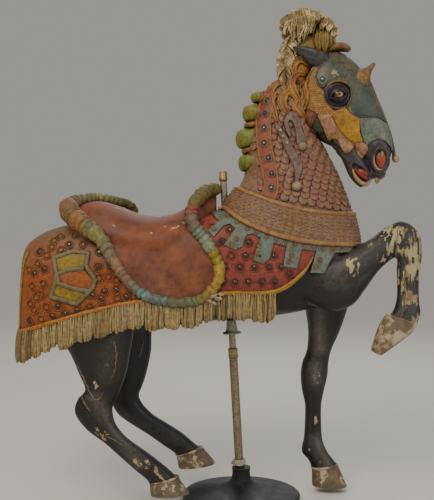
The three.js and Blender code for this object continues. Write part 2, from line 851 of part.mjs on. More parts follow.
function lappets(skin) {
  const lines = [
    [[268, 1288], [286, 1262], [302, 1222]],
    [[312, 1256], [336, 1222], [362, 1178]],
    [[392, 1206], [412, 1182], [430, 1156]],
  ];
  const leaf = (t) => 0.15 + 0.85 * Math.sin(Math.PI * Math.min(0.35 + 0.63 * t, 0.98));
  return joined(lines.map((line) => strap(skin, NEAR, line, 46, 12, 3, leaf)));
}

function eyeMiddle(skin, side) {
  const { point, normal } = skin.at(EYE.x, EYE.z, side);
  return point.addScaledVector(normal, -EYE.depth);
}

function eyeLids(skin, side) {
  const lids = asSolid(new THREE.TorusGeometry(EYE.radius + 3, EYE.lid, 3, 9).scale(1.2, 0.92, 1.3));
  return onSkin(skin, side, EYE.x, EYE.z, lids, 1);
}

function headMatrix() {
  const there = new THREE.Matrix4().makeTranslation(-HEAD_PIVOT_X, 0, 0);
  const turn = new THREE.Matrix4().makeRotationZ(HEAD_TURN);
  return new THREE.Matrix4().makeTranslation(HEAD_PIVOT_X, 0, 0).multiply(turn).multiply(there);
}

function eyeBall(skin, side) {
  const middle = eyeMiddle(skin, side);
  return ball(middle.x, middle.y, middle.z, EYE.radius, 8, 6);
}

function head(skin) {
  const bare = joined([headLoft(0), loft(JAW, 5, 8, 2.3)]);
  const dressed = joined([
    bare, plates(), lappets(skin), forelockKnob(), spike(), noseBell(),
    eyeLids(skin, NEAR), ear(NEAR), ear(FAR),
  ]);
  const sockets = [NEAR, FAR].map((side) => {
    const middle = eyeMiddle(skin, side);
    return ball(middle.x, middle.y, middle.z, EYE.radius + 2 * GAP, 8, 6);
  });
  return [...sockets, nostril(NEAR), nostril(FAR)].reduce((whole, hollow) => whole.subtract(hollow), dressed);
}

// Curled feathers rise from the poll and fall behind the neck.

const FEATHERS = [
  {
    root: 22, bulge: 22,
    path: [
      [276, 0, 1496], [262, -10, 1560], [232, -16, 1618], [192, -18, 1636], [164, -20, 1610], [156, -20, 1572],
    ],
  },
  {
    root: 20, bulge: 16,
    path: [[280, 4, 1500], [278, 12, 1570], [262, 16, 1622], [236, 18, 1642], [204, 20, 1618]],
  },
  {
    root: 20, bulge: 11,
    path: [[284, 0, 1500], [296, 0, 1560], [305, -2, 1604], [316, -4, 1590], [320, -4, 1556]],
  },
  {
    root: 20, bulge: 14,
    path: [[276, -16, 1500], [254, -38, 1562], [228, -48, 1594], [196, -46, 1580]],
  },
  {
    root: 20, bulge: 14,
    path: [[276, 20, 1500], [254, 44, 1562], [228, 54, 1594], [196, 50, 1580]],
  },
  {
    root: 17, bulge: 7,
    path: [
      [268, 0, 1496], [216, -6, 1538], [168, -14, 1548], [146, -18, 1500], [137, -14, 1440], [148, -8, 1376],
    ],
  },
];

function plume() {
  const parts = FEATHERS.map(({ path, root, bulge }) => tube(path, {
    rings: 6,
    sides: 6,
    radius: (t) => (root + bulge * Math.sin(Math.PI * t)) * (1 - 0.55 * t ** 6),
  }));
  return joined(parts);
}

// Flame-shaped locks behind the cheek.
function locks(skin) {
  const lines = [
    [[232, 1440], [176, 1426], [128, 1416]],
    [[224, 1392], [150, 1366], [100, 1360]],
    [[226, 1340], [160, 1300], [96, 1306]],
    [[236, 1300], [186, 1260], [130, 1262]],
  ];
  return joined(lines.map((line) => strap(skin, NEAR, line, 44, 16, 3, (t) => 1.05 - 0.75 * t * t)));
}

// Straps on the neck.

const CREST_STRAP = [[96, 1374], [76, 1290], [74, 1240], [76, 1190], [94, 1090], [96, 1046], [84, 1012]];

function neckStraps(skin) {
  const parts = [
    strap(skin, NEAR, CREST_STRAP, 42, 7, 8),
    strap(skin, NEAR, [[116, 1252], [142, 1206], [168, 1140], [176, 1070]], 22, 8, 5),
    strap(skin, NEAR, [[148, 1294], [172, 1246], [188, 1204]], 36, 8, 3, (t) => 1.05 - 0.5 * t),
  ];
  for (const [x, z, size] of [[178, 1050, 15], [198, 1184, 13]]) {
    const { point, normal } = skin.at(x, z, NEAR);
    const middle = point.clone().addScaledVector(normal, size * 0.55);
    parts.push(ball(middle.x, middle.y, middle.z, size, 6, 4));
  }
  return joined(parts);
}

// Rosettes and the jewels on them, in rows over the front of the cloth, the rump and the strap.
// Only the near side, which riders look at, is jewelled.

function jewelSpots() {
  const rows = [
    { z: 826, from: -36, count: 4, pitch: 46 },
    { z: 788, from: -8, count: 3, pitch: 47 },
    { z: 742, from: -24, count: 4, pitch: 43 },
  ];
  const spots = [];
  for (const { z, from, count, pitch } of rows) {
    for (let i = 0; i < count; i += 1) spots.push([from + i * pitch, z]);
  }
  spots.push([-670, 770], [-464, 794], [-434, 756], [-593, 664], [-677, 612]);
  const line = planCurve(CREST_STRAP);
  return [...spots, ...[0.25, 0.44, 0.66, 0.86].map((t) => line(t))];
}

function bossSolid() {
  const { radius, height, root } = BOSS;
  return turned([[0, -root], [radius, -root], [radius * 0.8, height], [0, height]], BOSS.sides);
}

function jewelSolid() {
  const { radius, height } = JEWEL;
  return turned([[0, 0], [radius, 0], [0, height]], JEWEL.sides);
}

// The whole horse.

function boreThroughBody() {
  const bore = new THREE.CylinderGeometry(ROD_RADIUS + GAP, ROD_RADIUS + GAP, 900, 20);
  bore.rotateX(Math.PI / 2).translate(0, 0, 850).rotateY(-POLE_LEAN);
  return asSolid(bore);
}

function cupSocket() {
  const { bottomRadius, topRadius, height } = CUP;
  const grow = 2 * GAP;
  const bottom = FLANGE.bottom + FLANGE.height;
  const socket = new THREE.CylinderGeometry(topRadius + grow, bottomRadius + grow, height + 2 * grow, 20);
  socket.rotateX(Math.PI / 2).translate(0, 0, bottom + GAP + height / 2).rotateY(-POLE_LEAN);
  return asSolid(socket);
}

function horse() {
  const body = loft(BODY, 9, 12, 2.4);
  const headSkin = new Skin(headLoft(0));
  const pollSkin = new Skin(neckLoft(0, 7).add(headLoft(0)));
  const whole = joined([
    body, cloth(), fringe(), rearStrands(), piping(), saddle(), roll(), neckLoft(0), crest(),
    collar(), border(), shield(), nearHindLeg(), farHindLeg(), standingForeLeg(), raisedForeLeg(),
    moved(head(headSkin), headMatrix()), plume(), locks(pollSkin), neckStraps(pollSkin),
  ]);
  const carvedSkin = new Skin(whole);
  const boss = bossSolid();
  const bosses = jewelSpots().map(([x, z]) => onSkin(carvedSkin, NEAR, x, z, boss));
  const bored = joined([whole, ...bosses]).subtract(boreThroughBody()).subtract(cupSocket());
  return { carving: outerBody(bored), carvedSkin, headSkin };
}

// Named meshes.

function finish(colour, roughness, metalness = 0) {
  return new THREE.MeshStandardMaterial({ color: colour, roughness, metalness, flatShading: true });
}

function named(name, geometry, material) {
  const mesh = new THREE.Mesh(geometry, material);
  mesh.name = name;
  return mesh;
}

function roundBar(radius, bottom, top, segments = 16) {
  const bar = new THREE.CylinderGeometry(radius, radius, top - bottom, segments);
  return bar.rotateX(Math.PI / 2).translate(0, 0, (bottom + top) / 2);
}

function sleeve(outer, inner, bottom, top, segments = 16) {
  const profile = [[inner, bottom], [outer, bottom], [outer, top], [inner, top], [inner, bottom]];
  const lathe = new THREE.LatheGeometry(profile.map(([r, z]) => new THREE.Vector2(r, z)), segments);
  return asGeometry(asSolid(lathe.rotateX(Math.PI / 2)));
}

function standFoot() {
  const { radius, rim, neck, throat, height } = FOOT;
  const { steps, topRadius, top, hollow } = FOOT_SKIRT;
  const profile = [[0, 0], [radius, 0], [radius, rim]];
  for (let step = 1; step <= steps; step += 1) {
    const t = step / steps;
    profile.push([radius + (topRadius - radius) * t, rim + (top - rim) * t ** hollow]);
  }
  profile.push([neck, throat], [neck, height], [0, height]);
  const socket = new THREE.CylinderGeometry(POST_RADIUS + GAP, POST_RADIUS + GAP, 2 * height, 16);
  socket.rotateX(Math.PI / 2).translate(0, 0, FOOT.socketFloor + height).rotateY(-POLE_LEAN);
  return asGeometry(turned(profile, 24).subtract(asSolid(socket)));
}

function stand() {
  const steel = finish(COLOURS.post, 0.6, 0.5);
  const pale = finish(COLOURS.pale, 0.55, 0.2);
  const lean = new THREE.Group();
  lean.rotation.y = -POLE_LEAN;
  const ferruleTop = POST_TOP + FERRULE.height;
  const flangeTop = FLANGE.bottom + FLANGE.height;
  const ringBottom = FOOT.height + 6;
  const footRing = sleeve(FOOT_RING.radius, POST_RADIUS + GAP, ringBottom, ringBottom + FOOT_RING.height);
  const capBottom = ROD_TOP + GAP;
  const bore = ROD_RADIUS + GAP;
  const cup = [
    [bore, flangeTop + GAP],
    [CUP.bottomRadius, flangeTop + GAP],
    [CUP.topRadius, flangeTop + GAP + CUP.height],
    [bore, flangeTop + GAP + CUP.height],
    [bore, flangeTop + GAP],
  ];
  const cupLathe = new THREE.LatheGeometry(cup.map(([r, z]) => new THREE.Vector2(r, z)), 16);
  lean.add(
    named('stand_post', roundBar(POST_RADIUS, FOOT.socketFloor + 1, POST_TOP - GAP), steel),
    named('pole_ferrule', roundBar(FERRULE.radius, POST_TOP, ferruleTop), finish(COLOURS.yellow, 0.6)),
    named('upper_rod', roundBar(ROD_RADIUS, ferruleTop + GAP, ROD_TOP), finish(COLOURS.rod, 0.6)),
    named('pole_cap', roundBar(CAP.radius, capBottom, capBottom + CAP.height), finish(COLOURS.yellow, 0.6)),
    named('belly_flange', sleeve(FLANGE.radius, bore, FLANGE.bottom, flangeTop, 20), pale),
    named('belly_cup', asGeometry(asSolid(cupLathe.rotateX(Math.PI / 2))), pale),
    named('foot_ring', footRing, pale),
  );
  return [lean, named('stand_foot', standFoot(), finish(COLOURS.iron, 0.7, 0.6))];
}

function eyes(headSkin) {
  return [['eye_right', NEAR], ['eye_left', FAR]].map(([name, side]) => {
    const solid = moved(eyeBall(headSkin, side), headMatrix());
    return named(name, asGeometry(solid), finish(COLOURS.eye, 0.15));
  });
}

function jewels(carvedSkin) {
  const jewel = jewelSolid();
  const glass = finish(COLOURS.jewel, 0.2);
  return jewelSpots().map(([x, z], i) => {
    const solid = onSkin(carvedSkin, NEAR, x, z, jewel, BOSS.height + GAP);
    return named(`jewel_${i + 1}`, asGeometry(solid), glass);
  });
}

function carouselHorse() {
  const group = new THREE.Group();
  const { carving, carvedSkin, headSkin } = horse();
  group.add(
    named('horse', asGeometry(carving), finish(COLOURS.wood, 0.7)),
    ...stand(), ...eyes(headSkin), ...jewels(carvedSkin),
  );
  return group;
}

const group = carouselHorse();

export default group;
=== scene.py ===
"""Carousel horse, carved in basswood and painted in oils, on its pole and iron foot.

Shape code works in millimetres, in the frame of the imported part: +X towards the head,
+Y towards the far side, +Z up. A finished piece is stored in metres, at the origin.
"""

import logging
import math
from dataclasses import dataclass
from enum import Enum
from typing import Callable, Iterable, Sequence

import bmesh
import bpy
import numpy as np
from mathutils import Matrix, Vector, noise
from mathutils.bvhtree import BVHTree
from mathutils.geometry import delaunay_2d_cdt


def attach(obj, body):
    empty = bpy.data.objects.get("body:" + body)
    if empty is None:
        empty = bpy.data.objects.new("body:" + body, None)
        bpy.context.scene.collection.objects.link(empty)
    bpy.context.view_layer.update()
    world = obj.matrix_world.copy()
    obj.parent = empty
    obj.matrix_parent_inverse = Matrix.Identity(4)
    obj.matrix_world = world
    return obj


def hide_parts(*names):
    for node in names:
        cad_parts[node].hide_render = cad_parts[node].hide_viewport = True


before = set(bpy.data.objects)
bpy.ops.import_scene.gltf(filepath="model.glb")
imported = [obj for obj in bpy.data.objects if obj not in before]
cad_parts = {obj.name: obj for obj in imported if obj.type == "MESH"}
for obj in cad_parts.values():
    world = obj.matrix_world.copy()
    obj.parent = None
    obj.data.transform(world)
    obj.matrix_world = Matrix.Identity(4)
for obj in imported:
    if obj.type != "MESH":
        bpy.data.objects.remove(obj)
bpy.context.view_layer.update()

log = logging.getLogger("carousel_horse")

MM = 0.001
NEAR = -1
FAR = 1
BODY = "root"
POLE_LEAN = math.radians(3.2)
RAY_START = 900.0  # Outside the horse on every side.
HALF_SPAN = 400.0  # Past the cloth on both sides.
CORNER_POINTS = 42  # Of a strap's turn round the rump or the chest.

Row = Sequence[float]


# Lines and surfaces.


def spline(rows: Iterable[Row], places: np.ndarray, closed: bool = False) -> np.ndarray:
    """Reads a smooth line through rows of numbers.

    Args:
        rows: the rows that the line goes through.
        places: where to read it, counted in rows.
        closed: whether the last row joins the first.

    Returns:
        One row for each place.
    """
    data = np.asarray(list(rows), float)
    count = len(data)
    last = count if closed else count - 1
    index = np.clip(np.floor(places).astype(int), 0, last - 1)
    part = (places - index)[:, None]

    def pick(offset: int) -> np.ndarray:
        """The rows that lie that far from each place."""
        where = index + offset
        return data[where % count] if closed else data[np.clip(where, 0, count - 1)]

    before, start, end, after = pick(-1), pick(0), pick(1), pick(2)
    leave = (end - before) / 2
    arrive = (after - start) / 2
    bend = 3 * (end - start) - 2 * leave - arrive
    twist = 2 * (start - end) + leave + arrive
    return start + part * (leave + part * (bend + part * twist))


def even_line(rows: Iterable[Row], count: int, closed: bool = False) -> np.ndarray:
    """Points at even distances along a smooth line.

    Args:
        rows: the points that the line goes through.
        count: how many points to return.
        closed: whether the line is a loop.

    Returns:
        The points, one in each row.
    """
    data = np.asarray(list(rows), float)
    spans = len(data) if closed else len(data) - 1
    dense = spline(data, np.linspace(0, spans, spans * 24 + 1), closed)
    steps = np.linalg.norm(np.diff(dense, axis=0), axis=1)
    reach = np.concatenate([[0], np.cumsum(steps)])
    goals = np.linspace(0, reach[-1], count + 1)[:-1] if closed else np.linspace(0, reach[-1], count)
    return np.stack([np.interp(goals, reach, dense[:, k]) for k in range(data.shape[1])], axis=1)


def unit(vectors: np.ndarray) -> np.ndarray:
    """The same directions with length one."""
    length = np.linalg.norm(vectors, axis=-1, keepdims=True)
    return vectors / np.maximum(length, 1e-9)


def smoothstep(value: np.ndarray | float, low: float, high: float) -> np.ndarray:
    """Rises from 0 at low to 1 at high, with no corner."""
    part = np.clip((np.asarray(value, float) - low) / (high - low), 0, 1)
    return part * part * (3 - 2 * part)


@dataclass
class Shape:
    """Points in millimetres and the faces between them."""

    points: np.ndarray
    faces: list[tuple[int, ...]]


def gather(shapes: Iterable[Shape]) -> Shape:
    """All of the shapes in one."""
    points, faces, shift = [], [], 0
    for shape in shapes:
        points.append(shape.points)
        faces.extend(tuple(i + shift for i in face) for face in shape.faces)
        shift += len(shape.points)
    return Shape(np.vstack(points), faces)


def skin(rings: np.ndarray, closed: bool = False) -> Shape:
    """A closed surface over a run of rings.

    Args:
        rings: ring by ring, point by point.
        closed: whether the last ring joins the first. Otherwise the ends are filled.
    """
    count, sides = rings.shape[:2]
    points = rings.reshape(-1, 3)
    faces = []
    for r in range(count if closed else count - 1):
        here, there = r * sides, ((r + 1) % count) * sides
        for s in range(sides):
            after = (s + 1) % sides
            faces.append((here + s, here + after, there + after, there + s))
    if not closed:
        ends = [rings[0].mean(0), rings[-1].mean(0)]
        low, high = len(points), len(points) + 1
        points = np.vstack([points, ends])
        start = (count - 1) * sides
        for s in range(sides):
            after = (s + 1) % sides
            faces.append((after, s, low))
            faces.append((start + s, start + after, high))
    return Shape(points, faces)


@dataclass
class Loft:
    """A body through straight cuts seen from the side.

    A cut holds its two ends (x, z, x, z), its half width and the place of its middle.
    """

    cuts: Sequence[Row]
    power: float = 2.0

    def rings(self, places: np.ndarray, sides: int, swell: float | np.ndarray = 0.0) -> np.ndarray:
        """Rings at the given places, counted in cuts, each swollen by some millimetres."""
        rows = [tuple(cut) + (0.0,) * (6 - len(cut)) for cut in self.cuts]
        read = spline(rows, places)
        swell = np.broadcast_to(np.asarray(swell, float), (len(places),))[:, None]
        back, front = read[:, 0:2], read[:, 2:4]
        step = unit(front - back) * swell
        back, front = back - step, front + step
        half = read[:, 4:5] + swell
        angle = 2 * math.pi * (np.arange(sides) + 0.5) / sides

        def squared(value: np.ndarray) -> np.ndarray:
            """The circle's coordinate, pushed out towards a square."""
            return np.sign(value) * np.abs(value) ** (2 / self.power)

        along = (1 + squared(np.cos(angle))) / 2
        x = back[:, :1] + (front - back)[:, :1] * along
        z = back[:, 1:] + (front - back)[:, 1:] * along
        y = read[:, 5:6] + half * squared(np.sin(angle))
        return np.stack([x, y, z], axis=2)

    def shape(self, rings: int = 80, sides: int = 72, swell: float = 0.0) -> Shape:
        """The body with evenly spaced rings."""
        return skin(self.rings(np.linspace(0, len(self.cuts) - 1, rings + 1), sides, swell))


def uprights(rows: Iterable[Row]) -> list[Row]:
    """Upright cuts from rows of place, bottom, top, half width and middle."""
    return [(x, low, x, high, half, *rest) for x, low, high, half, *rest in rows]


def frames(path: np.ndarray, closed: bool = False) -> tuple[np.ndarray, np.ndarray, np.ndarray]:
    """Directions along a path, carried along it without twist.

    Returns:
        The ahead, side and out directions at each point.
    """
    if closed:
        ahead = unit(np.roll(path, -1, 0) - np.roll(path, 1, 0))
    else:
        ahead = unit(np.gradient(path, axis=0))
    start = np.cross(ahead[0], (0.0, 1.0, 0.0))
    if np.linalg.norm(start) < 0.1:
        start = np.cross(ahead[0], (0.0, 0.0, 1.0))
    sides = [unit(start)]
    for i in range(1, len(path)):
        side = sides[-1] - ahead[i] * np.dot(sides[-1], ahead[i])
        sides.append(unit(side))
    side = np.array(sides)
    return ahead, side, np.cross(ahead, side)


def tube(path: np.ndarray, radius: np.ndarray, sides: int = 10, flat: float = 1.0,
         closed: bool = False, out: np.ndarray | None = None) -> Shape:
    """A round rod along a path.

    Args:
        path: its middle line.
        radius: one radius for each point, or one for each point of each ring.
        sides: how many points a ring has.
        flat: thickness out of the surface, as a share of the width.
        closed: whether the rod is a loop.
        out: the direction that points out of the surface below, where one is given.
    """
    ahead, side, up = frames(path, closed)
    if out is not None:
        side = unit(np.cross(ahead, out))
        up = np.cross(side, ahead)
    radius = np.asarray(radius, float)
    if radius.ndim == 1:
        radius = radius[:, None]
    angle = 2 * math.pi * np.arange(sides) / sides
    across = radius * np.cos(angle)
    over = radius * np.sin(angle) * flat
    rings = path[:, None] + side[:, None] * across[..., None] + up[:, None] * over[..., None]
    return skin(rings, closed)


def turned(profile: Sequence[Row], sides: int = 48) -> Shape:
    """A piece spun round the Z axis from a profile of radius and height, bottom to top."""
    rows = [(0.0, 0.0, profile[0][1]), *[(r, 0.0, z) for r, z in profile], (0.0, 0.0, profile[-1][1])]
    work = bench_object(Shape(np.array(rows, float), []), edges=[(i, i + 1) for i in range(len(rows) - 1)])
    bpy.ops.object.mode_set(mode="EDIT")
    bpy.ops.mesh.select_all(action="SELECT")
    bpy.ops.mesh.spin(steps=sides, angle=2 * math.pi, center=(0, 0, 0), axis=(0, 0, 1))
    bpy.ops.mesh.select_all(action="SELECT")
    bpy.ops.mesh.remove_doubles(threshold=1e-3)
    bpy.ops.mesh.normals_make_consistent(inside=False)
    bpy.ops.object.mode_set(mode="OBJECT")
    return taken(work)


def ball(middle: Row, radii: Row, rings: int = 12, sides: int = 18) -> Shape:
    """A round or oval ball."""
    rise = np.linspace(-math.pi / 2, math.pi / 2, rings + 1)[1:-1]
    angle = 2 * math.pi * np.arange(sides) / sides
    unit_ball = np.stack([
        np.cos(rise)[:, None] * np.cos(angle),
        np.cos(rise)[:, None] * np.sin(angle),
        np.broadcast_to(np.sin(rise)[:, None], (len(rise), sides)),
    ], 2)
    return skin(np.asarray(middle, float) + unit_ball * np.asarray(radii, float))


def moved(shape: Shape, matrix: Matrix) -> Shape:
    """The shape turned and placed by a matrix in millimetres."""
    array = np.array(matrix)
    return Shape(shape.points @ array[:3, :3].T + array[:3, 3], shape.faces)


def mirrored(shape: Shape) -> Shape:
    """The shape on the other side of the horse."""
    return Shape(shape.points * (1, -1, 1), [tuple(reversed(face)) for face in shape.faces])


def placed(shape: Shape, point: np.ndarray, out: np.ndarray, ahead: np.ndarray, size: float = 1.0) -> Shape:
    """A shape modelled on the Z axis, stood on a surface.

    Args:
        shape: the piece, with +Z out of the surface and +X ahead.
        point: where its origin goes.
        out: the surface's direction.
        ahead: where its X axis points, as far as the surface lets it.
        size: how many times its modelled size.
    """
    out = unit(out)
    side = unit(np.cross(out, ahead))
    axes = np.stack([np.cross(side, out), side, out])
    return Shape(point + size * shape.points @ axes, shape.faces)


class Surface:
    """The outer face of a shape, found by rays."""

    def __init__(self, shape: Shape) -> None:
        """Builds the search tree."""
        self.tree = BVHTree.FromPolygons([tuple(p) for p in shape.points], shape.faces)

    def cast(self, start: Row, towards: Row) -> tuple[np.ndarray, np.ndarray] | None:
        """The first point that a ray meets, and the surface's direction there."""
        hit, normal, _, _ = self.tree.ray_cast(Vector(start), Vector(towards).normalized())
        if hit is None:
            return None
        out = np.array(normal)
        if np.dot(out, np.array(towards)) > 0:
            out = -out
        return np.array(hit), out

    def nearest(self, point: Row) -> tuple[np.ndarray, np.ndarray]:
        """The closest point of the surface and its outward direction."""
        hit, normal, _, _ = self.tree.find_nearest(Vector(point))
        return np.array(hit), np.array(normal)

    def side(self, x: float, z: float, side: int) -> tuple[np.ndarray, np.ndarray]:
        """The point seen at x, z from one side of the horse."""
        found = self.cast((x, side * RAY_START, z), (0, -side, 0))
        return found or self.nearest((x, side * 60.0, z))

    def line(self, rows: Iterable[Row], side: int, rise: float = 0.0) -> tuple[np.ndarray, np.ndarray]:
        """The points seen at rows of x, z, raised by some millimetres, and the directions there."""
        hits = [self.side(x, z, side) for x, z in rows]
        outs = np.array([out for _, out in hits])
        return np.array([point for point, _ in hits]) + outs * rise, outs

    def round(self, centre: Row, angle: float, height: Callable[[float], float]) -> tuple[np.ndarray,
                                                                                          np.ndarray]:
        """The point that a level ray meets on its way to an upright axis.

        Args:
            centre: the axis's place, x and y.
            angle: where the ray comes from, from +X towards +Y.
            height: how high the line lies at an x.
        """
        x = centre[0]
        found = None
        away = np.array([math.cos(angle), math.sin(angle), 0.0])
        for _ in range(5):
            start = np.array([centre[0], centre[1], height(x)]) + away * RAY_START
            found = self.cast(start, -away) or found
            if found is not None:
                x = 0.5 * x + 0.5 * found[0][0]
        if found is None:
            return self.nearest((centre[0], centre[1], height(x)))
        return found


# Work on meshes with Blender's own tools.


class Join(Enum):
    """How one body is put together with another."""

    UNION = "UNION"
    DIFFERENCE = "DIFFERENCE"
    INTERSECT = "INTERSECT"


def bench_object(shape: Shape, name: str = "work",
                 edges: Sequence[tuple[int, int]] = ()) -> bpy.types.Object:
    """A working object from a shape, in millimetres, alone selected."""
    bpy.ops.object.select_all(action="DESELECT")
    mesh = bpy.data.meshes.new(name)
    mesh.from_pydata(shape.points.tolist(), list(edges), shape.faces)
    mesh.update()
    work = bpy.data.objects.new(name, mesh)
    bpy.context.scene.collection.objects.link(work)
    bpy.context.view_layer.objects.active = work
    work.select_set(True)
    return work


def taken(work: bpy.types.Object) -> Shape:
    """The shape of a working object, which is then cleared away."""
    mesh = work.data
    points = np.zeros(len(mesh.vertices) * 3, np.float32)
    mesh.vertices.foreach_get("co", points)
    faces = [tuple(polygon.vertices) for polygon in mesh.polygons]
    bpy.data.objects.remove(work)
    bpy.data.meshes.remove(mesh)
    return Shape(points.reshape(-1, 3).astype(float), faces)


def finished(work: bpy.types.Object, kind: str, **settings: object) -> None:
    """Adds a modifier to a working object and applies it."""
    modifier = work.modifiers.new(kind.lower(), kind)
    for name, value in settings.items():
        setattr(modifier, name, value)
    bpy.context.view_layer.objects.active = work
    bpy.ops.object.modifier_apply(modifier=modifier.name)


def joined(first: Shape, second: Shape, how: Join) -> Shape:
    """Two closed bodies put together."""
    tool = bench_object(second, "tool")
    work = bench_object(first)
    finished(work, "BOOLEAN", object=tool, operation=how.value, solver="MANIFOLD")
    taken(tool)
    return taken(work)


def remeshed(shape: Shape, voxel: float, rounds: int = 0) -> Shape:
    """One even mesh over all that the shape's bodies enclose.

    Args:
        shape: closed bodies, which may run into each other.
        voxel: the new mesh's spacing.
        rounds: how often it is smoothed afterwards.
    """
    work = bench_object(shape)
    finished(work, "REMESH", mode="VOXEL", voxel_size=voxel, adaptivity=0.0)
    return relaxed(taken(work), rounds)


def relaxed(shape: Shape, rounds: int, inward: float = 0.5, outward: float = -0.52) -> Shape:
    """Smooths a mesh and keeps its volume."""
    quads = np.array([face for face in shape.faces if len(face) == 4])
    edges = np.vstack([quads[:, (i, (i + 1) % 4)] for i in range(4)])
    edges = np.vstack([edges, edges[:, ::-1]])
    count = len(shape.points)
    around = np.maximum(np.bincount(edges[:, 0], minlength=count), 1)[:, None]
    points = shape.points.copy()
    for part in (inward, outward) * rounds:
        near = points[edges[:, 1]]
        mean = np.stack([np.bincount(edges[:, 0], near[:, k], count) for k in range(3)], 1) / around
        points += part * (mean - points)
    return Shape(points, shape.faces)


def normals_of(shape: Shape) -> np.ndarray:
    """The outward direction at each point."""
    work = bench_object(shape)
    out = np.zeros(len(shape.points) * 3, np.float32)
    work.data.vertices.foreach_get("normal", out)
    taken(work)
    return out.reshape(-1, 3).astype(float)


def prism(outline: Sequence[Row], low: float = -HALF_SPAN, high: float = HALF_SPAN) -> Shape:
    """A side-view outline pushed across the horse."""
    flat = np.asarray(outline, float)
    ring = [np.stack([flat[:, 0], np.full(len(flat), y), flat[:, 1]], 1) for y in (low, high)]
    count = len(flat)
    faces = [(i, (i + 1) % count, count + (i + 1) % count, count + i) for i in range(count)]
    faces += [tuple(reversed(range(count))), tuple(range(count, 2 * count))]
    work = bench_object(Shape(np.vstack(ring), faces))
    bpy.ops.object.mode_set(mode="EDIT")
    bpy.ops.mesh.select_all(action="SELECT")
    bpy.ops.mesh.quads_convert_to_tris(quad_method="BEAUTY", ngon_method="CLIP")
    bpy.ops.mesh.normals_make_consistent(inside=False)
    bpy.ops.object.mode_set(mode="OBJECT")
    return taken(work)


@dataclass(frozen=True)
class Stroke:
    """A gouge or a swelling along a line, or the place where paint is worn.

    The line is given in millimetres; depth is how far the surface comes out.
    """

    line: Sequence[Row]
    reach: float
    depth: float = 1.0

    def weight(self, points: np.ndarray) -> np.ndarray:
        """How much each point feels the stroke, from 0 to 1."""
        line = np.asarray(self.line, float)
        if len(line) == 1:
            line = np.vstack([line, line + 1e-3])
        best = np.full(len(points), np.inf)
        for start, end in zip(line[:-1], line[1:]):
            run = end - start
            part = np.clip((points - start) @ run / (run @ run), 0, 1)[:, None]
            best = np.minimum(best, np.linalg.norm(points - start - part * run, axis=1))
        return np.exp(-((best / self.reach) ** 2))


def carved(shape: Shape, strokes: Sequence[Stroke]) -> Shape:
    """The shape with strokes cut into it or raised from it."""
    out = normals_of(shape)
    rise = sum(stroke.depth * stroke.weight(shape.points) for stroke in strokes)
    return Shape(shape.points + out * np.asarray(rise)[:, None], shape.faces)


def stroked(points: np.ndarray, strokes: Sequence[Stroke]) -> np.ndarray:
    """The strongest stroke at each point, from 0 to 1."""
    value = np.zeros(len(points))
    for stroke in strokes:
        value = np.maximum(value, stroke.depth * stroke.weight(points))
    return value


def patch(surface: Surface, outline: Sequence[Row], side: int, height: float, spacing: float = 5.0,
          round_edge: float = 3.0, root: float = 5.0, crown: float = 0.0) -> Shape:
    """A thin plate that follows a surface inside a side-view outline.

    Args:
        surface: what the plate lies on.
        outline: the plate's edge, x and z.
        side: which side of the horse it is on.
        height: its thickness over the surface.
        spacing: the mesh's spacing.
        round_edge: how far in from its edge it is rounded.
        root: how far its back lies in the surface.
        crown: how much its middle swells.
    """
    corners = np.asarray(outline, float)
    closed = np.vstack([corners, corners[:1]])
    edge_points = []
    for start, end in zip(closed[:-1], closed[1:]):
        steps = max(1, int(np.linalg.norm(end - start) / (0.7 * spacing)))
        edge_points.extend(start + (end - start) * i / steps for i in range(steps))
    edge = np.array(edge_points)
    count = len(edge)
    turn = np.sum(closed[:-1, 0] * closed[1:, 1] - closed[1:, 0] * closed[:-1, 1])
    tangent = unit(np.roll(edge, -1, 0) - np.roll(edge, 1, 0))
    inward = np.stack([-tangent[:, 1], tangent[:, 0]], 1) * (1 if turn > 0 else -1)

    def from_edge(places: np.ndarray) -> np.ndarray:
        """How far each place is from the outline."""
        best = np.full(len(places), np.inf)
        for start, end in zip(edge, np.roll(edge, -1, 0)):
            run = end - start
            part = np.clip((places - start) @ run / max(run @ run, 1e-9), 0, 1)[:, None]
            best = np.minimum(best, np.linalg.norm(places - start - part * run, axis=1))
        return best

    rows = [edge]
    for share in (0.35, 1.0):
        row = edge + inward * round_edge * share
        rows.append(row[from_edge(row) > 0.9 * round_edge * share])
    low, high = edge.min(0), edge.max(0)
    xs = np.arange(low[0], high[0] + spacing, spacing)
    zs = np.arange(low[1], high[1] + spacing, spacing)
    grid = np.stack(np.meshgrid(xs, zs), 2).reshape(-1, 2)
    grid = grid[from_edge(grid) > round_edge + 0.55 * spacing]
    flat = np.vstack([*rows, grid])
    ring = [(i, (i + 1) % count) for i in range(count)]
    found = delaunay_2d_cdt([Vector(p) for p in flat], ring, [], 1, 1e-4)
    places = np.array([tuple(p) for p in found[0]])
    triangles = [tuple(face) for face in found[2]]
    away = from_edge(places)
    rim = smoothstep(away, -0.2 * round_edge, round_edge) * height
    swell = crown * smoothstep(away, 0, max(away.max(), 1e-6))
    front, back = [], []
    for (x, z), rise in zip(places, rim + swell):
        point, out = surface.side(x, z, side)
        out = unit(out + np.array([0, 0.35 * side, 0]))
        front.append(point + out * rise)
        back.append(point - out * root)
    total = len(places)
    edges: dict[tuple[int, int], int] = {}
    for a, b, c in triangles:
        for pair in ((a, b), (b, c), (c, a)):
            edges[pair] = edges.get(pair, 0) + 1
    walls = [(b, a, a + total, b + total) for a, b in edges if (b, a) not in edges]
    backs = [tuple(i + total for i in reversed(face)) for face in triangles]
    return Shape(np.vstack([front, back]), triangles + backs + walls)


